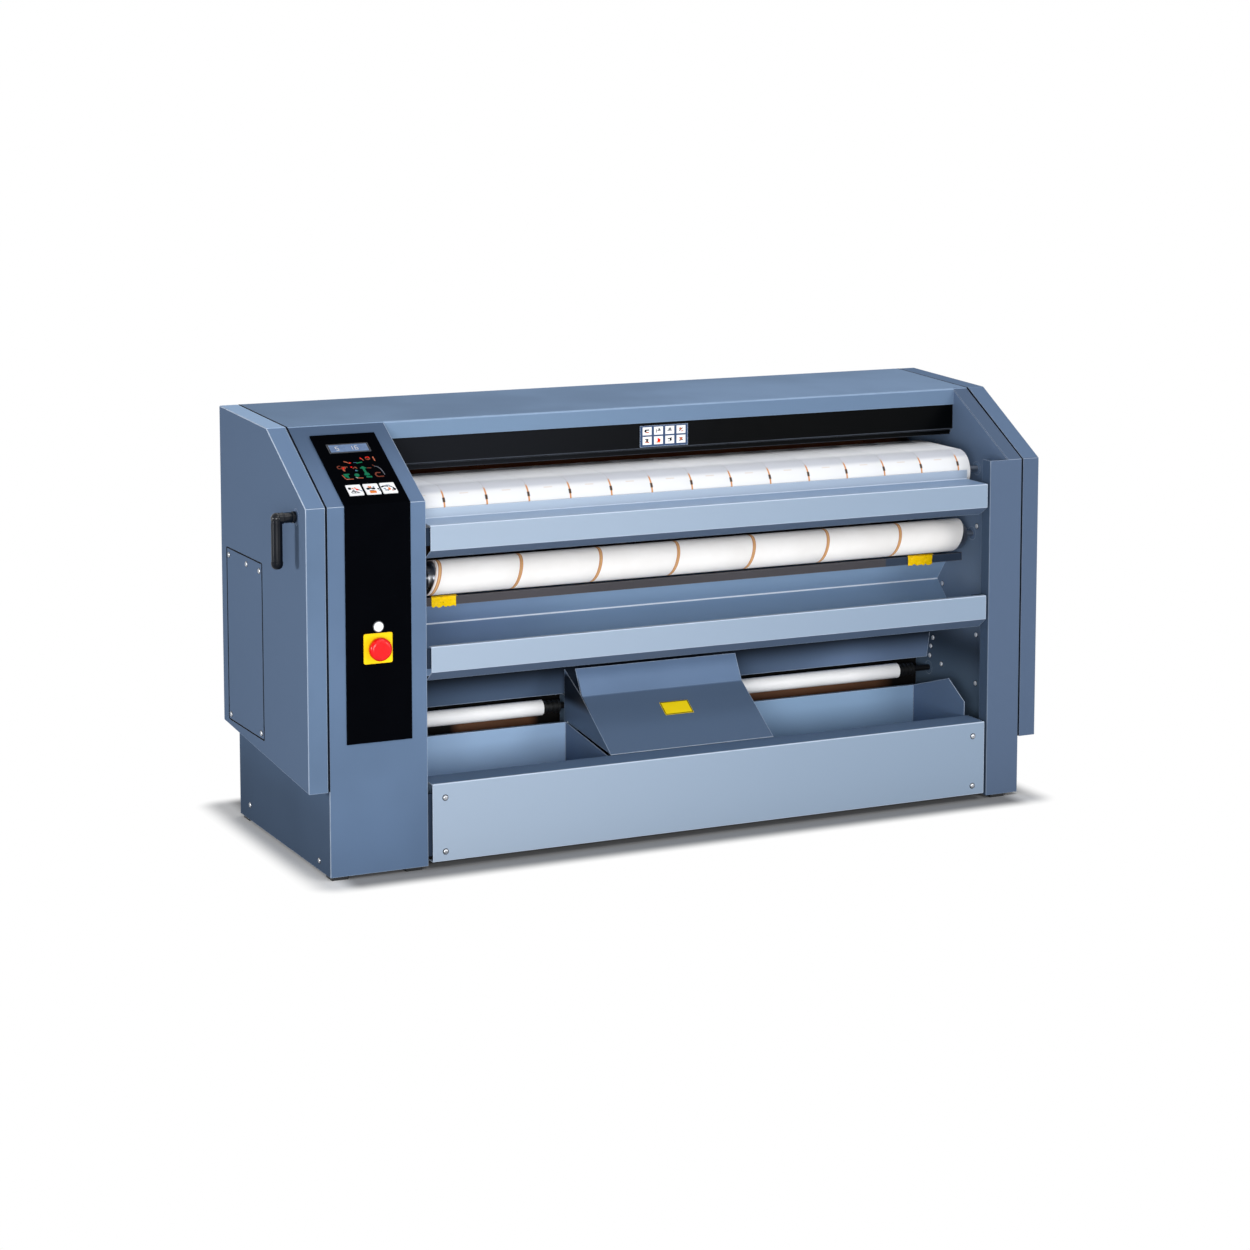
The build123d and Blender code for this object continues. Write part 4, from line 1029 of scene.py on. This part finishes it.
# Each key's middle on the slope, and its marks measured from there.
keys = {
    "left_key": {
        "middle": (91.5, 54.2),
        "bars": [
            ("dark", -12, 12, -12, 4, 4.6), ("brown", -10, 11, -9, 6, 2.6),
            ("amber", -5, 10, -3, 6, 2.6), ("amber", 0, 10, 4, 9, 2.8), ("amber", 3, 8, 5, 4, 2.2),
            ("brown", 8, 3, 12, 0, 2.8), ("blue", 13, 0, 18, -5, 1.8), ("grey", -3, 3, -12, -9, 1.8),
            ("grey", -3, 3, -2, -9, 1.8), ("grey", 0, -3, 8, -10, 2.2), ("grey", -7, -4, 2, -5, 2.0),
            ("grey", -11, -10, 10, -10, 1.2),
        ],
        "dots": [("dark", -12, 9, 4.0), ("red", 6, 3, 3.4)],
    },
    "middle_key": {
        "middle": (136.5, 54.2),
        "bars": [
            ("dark", -12, 5, 6, 4, 3.2), ("dark", -12, 2, -7, 1, 2.6), ("dark", 0, 2, 8, 1, 2.6),
            ("amber", -7, 13, -5, 7, 2.6), ("amber", -1, 13, -3, 7, 2.6), ("blue", 4, 10, 8, 8, 2.2),
            ("amber", -9, -10, 8, -10, 6.4), ("grey", -8, -4, 4, -4, 1.6), ("blue", 16, -3, 18, -7, 1.8),
        ],
        "dots": [("dark", -11, 3, 3.8), ("dark", 5, 3, 3.8), ("dark", 16, 1, 2.8)],
    },
    "right_key": {
        "middle": (180.0, 54.2),
        "bars": [
            ("dark", -18, 6, -10, 10, 3.2), ("dark", -10, 10, 1, 8, 2.8), ("dark", 3, 9, 11, 5, 2.2),
            ("dark", 12, 3, 14, -9, 3.2), ("blue", -4, 13, 6, 12, 1.6), ("blue", -14, 0, -8, -2, 2.0),
            ("grey", -11, -7, -2, -6, 2.2), ("amber", 1, 3, 0, -7, 3.4), ("tan", 6, -8, 11, -9, 2.2),
        ],
        "dots": [("dark", 14, -4, 4.0), ("amber", 2, -2, 3.2)],
        "rings": [("grey", 3, 0, 8.0, 1.4, 70, -120), ("blue", -2, -1, 8.0, 1.2, 160, 110)],
    },
}
for name, art in keys.items():
    onKey = onSlope @ Matrix.Translation((*art.pop("middle"), 0))
    label = name.replace("_key", "KeyMarks")
    printed(label, onKey, *prints["keyFace"], "key_plastic", name, **art, bold=prints["keyBold"])

# The pictogram plate: eight white squares, each with two bars and a dot.
plate = {
    "across": [1007.0, 1040.5, 1074.0, 1107.5],
    "up": [1029.4, 1003.8],
    "width": 26.5,
    "height": 21.5,
    "face": 286.8,
    "squareFace": (-0.05, 0.12),
    "barFace": (0.1, 0.2),
    "dotFace": (0.1, 0.24),
    "marks": [
        [("dark", -7, 3, 6, 3, 3.0), ("tan", -4, -3, 5, -4, 3.0), ("dark", -5, 0, 3.0)],
        [("dark", -6, 4, -6, -5, 1.8), ("grey", -3, 0, 7, 1, 3.0), ("dark", 2, 4, 2.4)],
        [("grey", -7, -1, 7, -1, 2.4), ("dark", -2, 5, 4, 5, 1.8), ("grey", 0, 2, 4.0)],
        [("dark", -6, -4, 5, 4, 2.4), ("tan", 0, -5, 7, -4, 2.4), ("tan", -2, 2, 3.4)],
        [("dark", -6, 4, 4, 4, 2.4), ("tan", -6, -3, 6, -5, 3.0), ("dark", 0, 0, 3.4)],
        [("red", -1, 6, -1, -5, 3.4), ("amber", -6, -5, 5, -5, 3.0), ("red", 2, 0, 4.0)],
        [("dark", -6, 2, 6, 4, 2.6), ("grey", -5, -4, 5, -4, 2.0), ("dark", 3, 0, 3.0)],
        [("tan", -5, 3, 5, 3, 3.0), ("dark", -6, -4, 6, -2, 2.4), ("tan", 0, 0, 3.6)],
    ],
}
plateInks = ["white", *prints["inks"]]
plateMesh = bmesh.new()
centres = [(x, z) for z in plate["up"] for x in plate["across"]]
for (x, z), (*lines, (spotInk, *spot, radius)) in zip(centres, plate["marks"]):
    onSquare = onFront(plate["face"]) @ Matrix.Translation((x, z, 0))
    half = plate["width"] / 2
    bar(plateMesh, onSquare, (-half, 0), (half, 0), plate["height"], *plate["squareFace"])
    for ink, *ends, width in lines:
        bar(plateMesh, onSquare, ends[:2], ends[2:], width, *plate["barFace"], plateInks.index(ink))
    disc(plateMesh, onSquare, spot, radius, *plate["dotFace"], plateInks.index(spotInk))
settle("pictogramSquares", plateMesh, [inkFinish(ink) for ink in plateInks])
print("prints: panel, keys and pictogram plate")

crank = {
    "axis": (68.0, 904.0),      # y and z of the arm
    "gripX": -104.0,
    "turns": 40,
    "knuckle": (0.0142, 24),    # radius in metres, and rings
    # radius and distance: out from the elbow along the arm, and down from the elbow along the grip
    "arm": [
        (0.0, 0.0), (13.4, 0.0), (13.4, 13.0), (14.2, 14.0), (14.2, 16.0), (13.2, 17.5), (13.2, 39.0),
        (14.6, 40.5), (15.0, 46.0), (14.0, 47.0), (8.0, 47.0), (8.0, 112.0), (18.0, 112.0),
        (18.0, 134.0), (0.0, 134.0),
    ],
    "grip": [
        (0.0, 0.0), (13.4, 0.0), (13.4, 12.0), (14.0, 13.5), (14.0, 106.0), (15.0, 107.5), (15.0, 112.5),
        (14.2, 117.0), (12.0, 121.5), (8.4, 124.6), (4.2, 125.8), (0.0, 126.0),
    ],
}
elbow = place(crank["gripX"], *crank["axis"])
alongArm = facing((0, 1, 0), (0, 0, 1), (1, 0, 0), elbow)
downGrip = facing((1, 0, 0), (0, -1, 0), (0, 0, -1), elbow)
crankMesh = bmesh.new()
for part, frameOf, number in (("arm", alongArm, 1), ("grip", downGrip, 0)):
    lathe = spun(crank[part], crank["turns"])
    bmesh.ops.transform(lathe, matrix=frameOf, verts=lathe.verts[:])
    bmesh.ops.recalc_face_normals(lathe, faces=lathe.faces[:])
    colourFaces({"verts": lathe.verts}, number)
    pour(lathe, crankMesh)
radius, levels = crank["knuckle"]
knuckle = bmesh.ops.create_uvsphere(
    crankMesh,
    u_segments=crank["turns"],
    v_segments=levels,
    radius=radius,
    matrix=Matrix.Translation(elbow),
)
colourFaces(knuckle, 1)
crankFinishes = [finishes["crankPlastic"], finishes["crankGloss"]]
settle("handCrank", crankMesh, crankFinishes, "hand_crank", ["hand_crank"], 28)
print("crank: arm, elbow and grip")

# Two thin yellow tags, folded over the scraper's front edge and crumpled.
tags = {
    "spans": [(364.0, 432.0), (1780.0, 1858.0)],
    "frontFace": 229.6,
    "top": 646.4,
    "foot": 617.5,
    "lip": 11.0,                     # how far the top flap reaches forward
    "crumple": 3.0,
    "creases": (0.06, 0.09, 0.01),   # how close they lie across, down, and from one tag to the next
    "finer": (0.6, 2.3),             # share of the finer creases, and how much finer they are
    "swell": (0.55, 0.6),            # the crumple's even share, and how far the creases move it
    "calm": (0.25, 12.0),            # what is left of it at the fold, and how soon below it grows to all
    "off": (0.9, 0.7),               # how far the flap stands off the beam before it, and at least
    "lipOff": 1.0,
    "lipSag": (0.4, 0.10),           # how far the lip lies under the fold, at first and per millimetre
    "lipSwell": 0.9,                 # how far the creases move the lip,
    "lipMost": 1.2,                  # and how far above the fold it may rise
    "fringe": 5.5,                   # how far the cut edges waver
    "fringeScale": 0.13,
    "thickness": 0.5,
    "columns": 34,
    "rows": 18,
    "seed": 3.7,
}


def crumpledTag(left, right):
    sheet = bmesh.new()
    bmesh.ops.create_grid(sheet, x_segments=tags["columns"], y_segments=tags["rows"], size=0.5)
    front, top, foot = tags["frontFace"], tags["top"], tags["foot"]
    drop = top - foot
    wide, tall, apart = tags["creases"]
    fineShare, fineScale = tags["finer"]
    even, moved = tags["swell"]
    calmShare, calmReach = tags["calm"]
    off, leastOff = tags["off"]
    sag, sagSlope = tags["lipSag"]
    for vert in sheet.verts:
        across = left + (vert.co.x + 0.5) * (right - left)
        run = (vert.co.y + 0.5) * (drop + tags["lip"])
        spot = Vector((across * wide + tags["seed"], run * tall, left * apart))
        rough = noise.noise(spot) + fineShare * noise.noise(spot * fineScale)
        waver = Vector((across * tags["fringeScale"], tags["seed"], 0.0))
        fringe = noise.noise(waver) * tags["fringe"]
        if run < drop:
            calm = min(1.0, calmShare + (drop - run) / calmReach)
            out = off + tags["crumple"] * (even + moved * rough) * calm
            vert.co = place(across, front - max(out, leastOff), foot + run + fringe * (1 - run / drop))
        else:
            over = run - drop
            height = min(top - sag + tags["lipSwell"] * rough - sagSlope * over, top + tags["lipMost"])
            ahead = front - tags["lipOff"] - over + fringe * over / tags["lip"]
            vert.co = place(across, ahead, height)
    bmesh.ops.recalc_face_normals(sheet, faces=sheet.faces[:])
    bmesh.ops.solidify(sheet, geom=sheet.faces[:], thickness=tags["thickness"] / 1000)
    return sheet


tagMesh = bmesh.new()
for span in tags["spans"]:
    pour(crumpledTag(*span), tagMesh)
bmesh.ops.recalc_face_normals(tagMesh, faces=tagMesh.faces[:])
tagFinish = [finishes["tagPaint"]]
settle("crumpledTags", tagMesh, tagFinish, replaces=["scraper_tags"], smoothDegrees=50)
print("tags: crumpled sheets on the scraper")

# Dark strips stand in for the shaded gaps at the joints between covers and columns and round the access
# panel: painted shade.
seams = {
    "width": 3.2,
    "topStart": (285.0, 1097.0),          # where the top begins, and its run to the rear
    "topBack": 377.0,
    "topRise": 15.9,
    "face": (-0.6, 0.2),                  # how deep and how proud the strips are
    "joints": [0.0, 2000.0],
    "coverFoot": [226.0, 165.0],
    "accessAcross": (-616.75, -334.25),   # in the cover's own across and up
    "accessUp": (289.25, 745.75),
    "accessWidth": (4.0, 6.5),            # across the level seams and the upright ones
}
topRun = math.hypot(seams["topBack"], seams["topRise"])
topAlong = (0, seams["topBack"] / topRun, seams["topRise"] / topRun)
onTop = facing((1, 0, 0), topAlong, (0, -topAlong[2], topAlong[1]), place(0, *seams["topStart"]))
seamMesh = bmesh.new()
for x, foot in zip(seams["joints"], seams["coverFoot"]):
    for frameOf, start, end in (
        (onTop, 0, topRun),
        (onFront(0), foot, machine["foldHeight"]),
        (onSlope, 0, slopeLength),
    ):
        bar(seamMesh, frameOf, (x, start), (x, end), seams["width"], *seams["face"])
low, high = seams["accessUp"]
near, far = seams["accessAcross"]
level, upright = seams["accessWidth"]
onCover = onLeftward(machine["coverFace"])
for up in (low, high):
    bar(seamMesh, onCover, (near, up), (far, up), level, *seams["face"])
for across in (near, far):
    bar(seamMesh, onCover, (across, low), (across, high), upright, *seams["face"])
settle("seamStrips", seamMesh, [finishes["seamShade"]])
print("seams: strips at the covers and the access panel")

notice = {
    "foot": (180.4, 282.5),     # y and z of the face's lower edge
    "rise": (0.837, 0.548),     # its slope, back and up
    "across": (1011.0, 1095.0),
    "length": 48.1,
    "inset": 2.4,
    "lineWidth": 1.8,
    "lineFace": (-0.2, 0.15),
}
riseY, riseZ = notice["rise"]
onNotice = facing((1, 0, 0), (0, riseY, riseZ), (0, -riseZ, riseY), place(0, *notice["foot"]))
left, right = notice["across"][0] + notice["inset"], notice["across"][1] - notice["inset"]
low, high = notice["inset"], notice["length"] - notice["inset"]
borderMesh = bmesh.new()
corners = [(left, low), (right, low), (right, high), (left, high)]
for start, end in zip(corners, corners[1:] + corners[:1]):
    bar(borderMesh, onNotice, start, end, notice["lineWidth"], *notice["lineFace"])
settle("noticeBorder", borderMesh, [inkFinish("dark")])

studio = {
    "floorSize": 60.0,
    "floorTone": paint(214, 216, 218),
    "seenTone": paint(250, 250, 250),   # the same floor as the camera and gloss see it
    "darkTone": paint(60, 60, 62),      # what the painted shadow darkens it towards
    "shadow": (1.0, 0.425),             # half the width and depth of the floor the painted shadow darkens
    "shadowMiddle": (0.032, 0.055),
    "fade": (0.012, 0.090),             # metres out from there where the floor turns plain white
    "underShare": 0.16,                 # how much painted shadow darkens the floor beside the machine,
    "frontShare": 0.56,                 # more of it in front,
    "frontFade": (-0.06, 0.0),
    "deepShare": 0.18,                  # and more again under it
    "deepFade": (-0.095, -0.070),
    "bounceReach": 0.25,                # how far round the machine painted shade darkens the floor's colour for bounced light
    "bounceShare": 0.68,
    "skyTone": (0.96, 0.975, 1.0, 1.0),
    "skyStrength": 0.22,
    "white": (1.0, 1.0, 1.0, 1.0),
    "lamps": [
        # name, place, aimed at, width, height, watts
        ("frontSoftbox", (-2.8, -5.7, 1.1), (0.0, 0.0, 0.5), 3.4, 1.9, 268.0),
        ("keySoftbox", (0.5, -3.4, 3.9), (0.2, 0.0, 0.7), 4.2, 1.6, 58.0),
        ("sideSoftbox", (-4.6, 0.02, 0.98), (-1.05, 0.0, 0.8), 0.5, 0.5, 84.0),
        ("fillSoftbox", (2.6, -5.0, 0.9), (0.7, 0.0, 0.5), 1.6, 1.2, 70.0),
        ("overheadSoftbox", (0.6, 0.3, 4.2), (0.3, 0.2, 0.6), 4.6, 2.0, 52.0),
    ],
}
for name, where, target, width, height, watts in studio["lamps"]:
    light = bpy.data.lights.new(name, "AREA")
    light.shape = "RECTANGLE"
    light.size = width
    light.size_y = height
    light.energy = watts
    stand = bpy.data.objects.new(name, light)
    stand.location = where
    stand.rotation_euler = (Vector(target) - Vector(where)).to_track_quat("-Z", "Y").to_euler()
    bpy.context.scene.collection.objects.link(stand)

sky = Look("studioSky", "worlds")
softSky = sky.node("Background", inputs={"Color": studio["skyTone"], "Strength": studio["skyStrength"]})
whiteSky = sky.node("Background", inputs={"Color": studio["white"], "Strength": 1.0})
bpy.context.scene.world = sky.show(sky.blend(sky.seen(), softSky, whiteSky), "OutputWorld")

floorMesh = bmesh.new()
bmesh.ops.create_grid(floorMesh, x_segments=1, y_segments=1, size=studio["floorSize"] / 2)
floorData = bpy.data.meshes.new("floor")
floorMesh.to_mesh(floorData)
floorMesh.free()
floor = bpy.data.objects.new("floor", floorData)
bpy.context.scene.collection.objects.link(floor)
look = Look("paleFloor")
# Painted shadow: the floor the camera sees darkens round the machine's footprint, more in front and more
# again under it, and turns plain white further out
beside = abs(look.x - studio["shadowMiddle"][0]) - studio["shadow"][0]
before = abs(look.y - studio["shadowMiddle"][1]) - studio["shadow"][1]
out = look.distance(look.larger(beside, 0.0), look.larger(before, 0.0))
inFront = 1 - look.step(beside, *studio["frontFade"])
beneath = 1 - look.step(before, *studio["deepFade"])
dark = studio["underShare"] + inFront * (studio["frontShare"] + beneath * studio["deepShare"])
shown = look.mix(dark, studio["seenTone"], studio["darkTone"])
# painted shade: the floor's colour for bounced light darkens near the machine
close = 1 - look.step(out, 0.0, studio["bounceReach"])
thrown = look.mix(close * studio["bounceShare"], studio["floorTone"], studio["darkTone"])
seen = look.seen()
matt = look.surface(look.mix(seen, thrown, shown), 0.9, 0.0)
plain = look.node("Emission", inputs={"Color": studio["white"], "Strength": 1.0})
floorData.materials.append(look.show(look.blend(seen * look.step(out, *studio["fade"]), matt, plain)))

camera = {
    "place": (-3.4328, -7.1716, 2.0687),
    "turn": 0.446,
    "tilt": -0.120,
    "lens": 86.708,
    "sensor": 36.0,
    "shiftY": -0.18,
}
eye = bpy.data.objects.new("camera", bpy.data.cameras.new("camera"))
eye.location = camera["place"]
eye.rotation_euler = (math.pi / 2 + camera["tilt"], 0.0, -camera["turn"])
eye.data.lens = camera["lens"]
eye.data.sensor_width = camera["sensor"]
eye.data.shift_y = camera["shiftY"]
bpy.context.scene.collection.objects.link(eye)
bpy.context.scene.camera = eye
bpy.context.scene.view_settings.view_transform = "Standard"
print("studio: floor, lamps and camera")
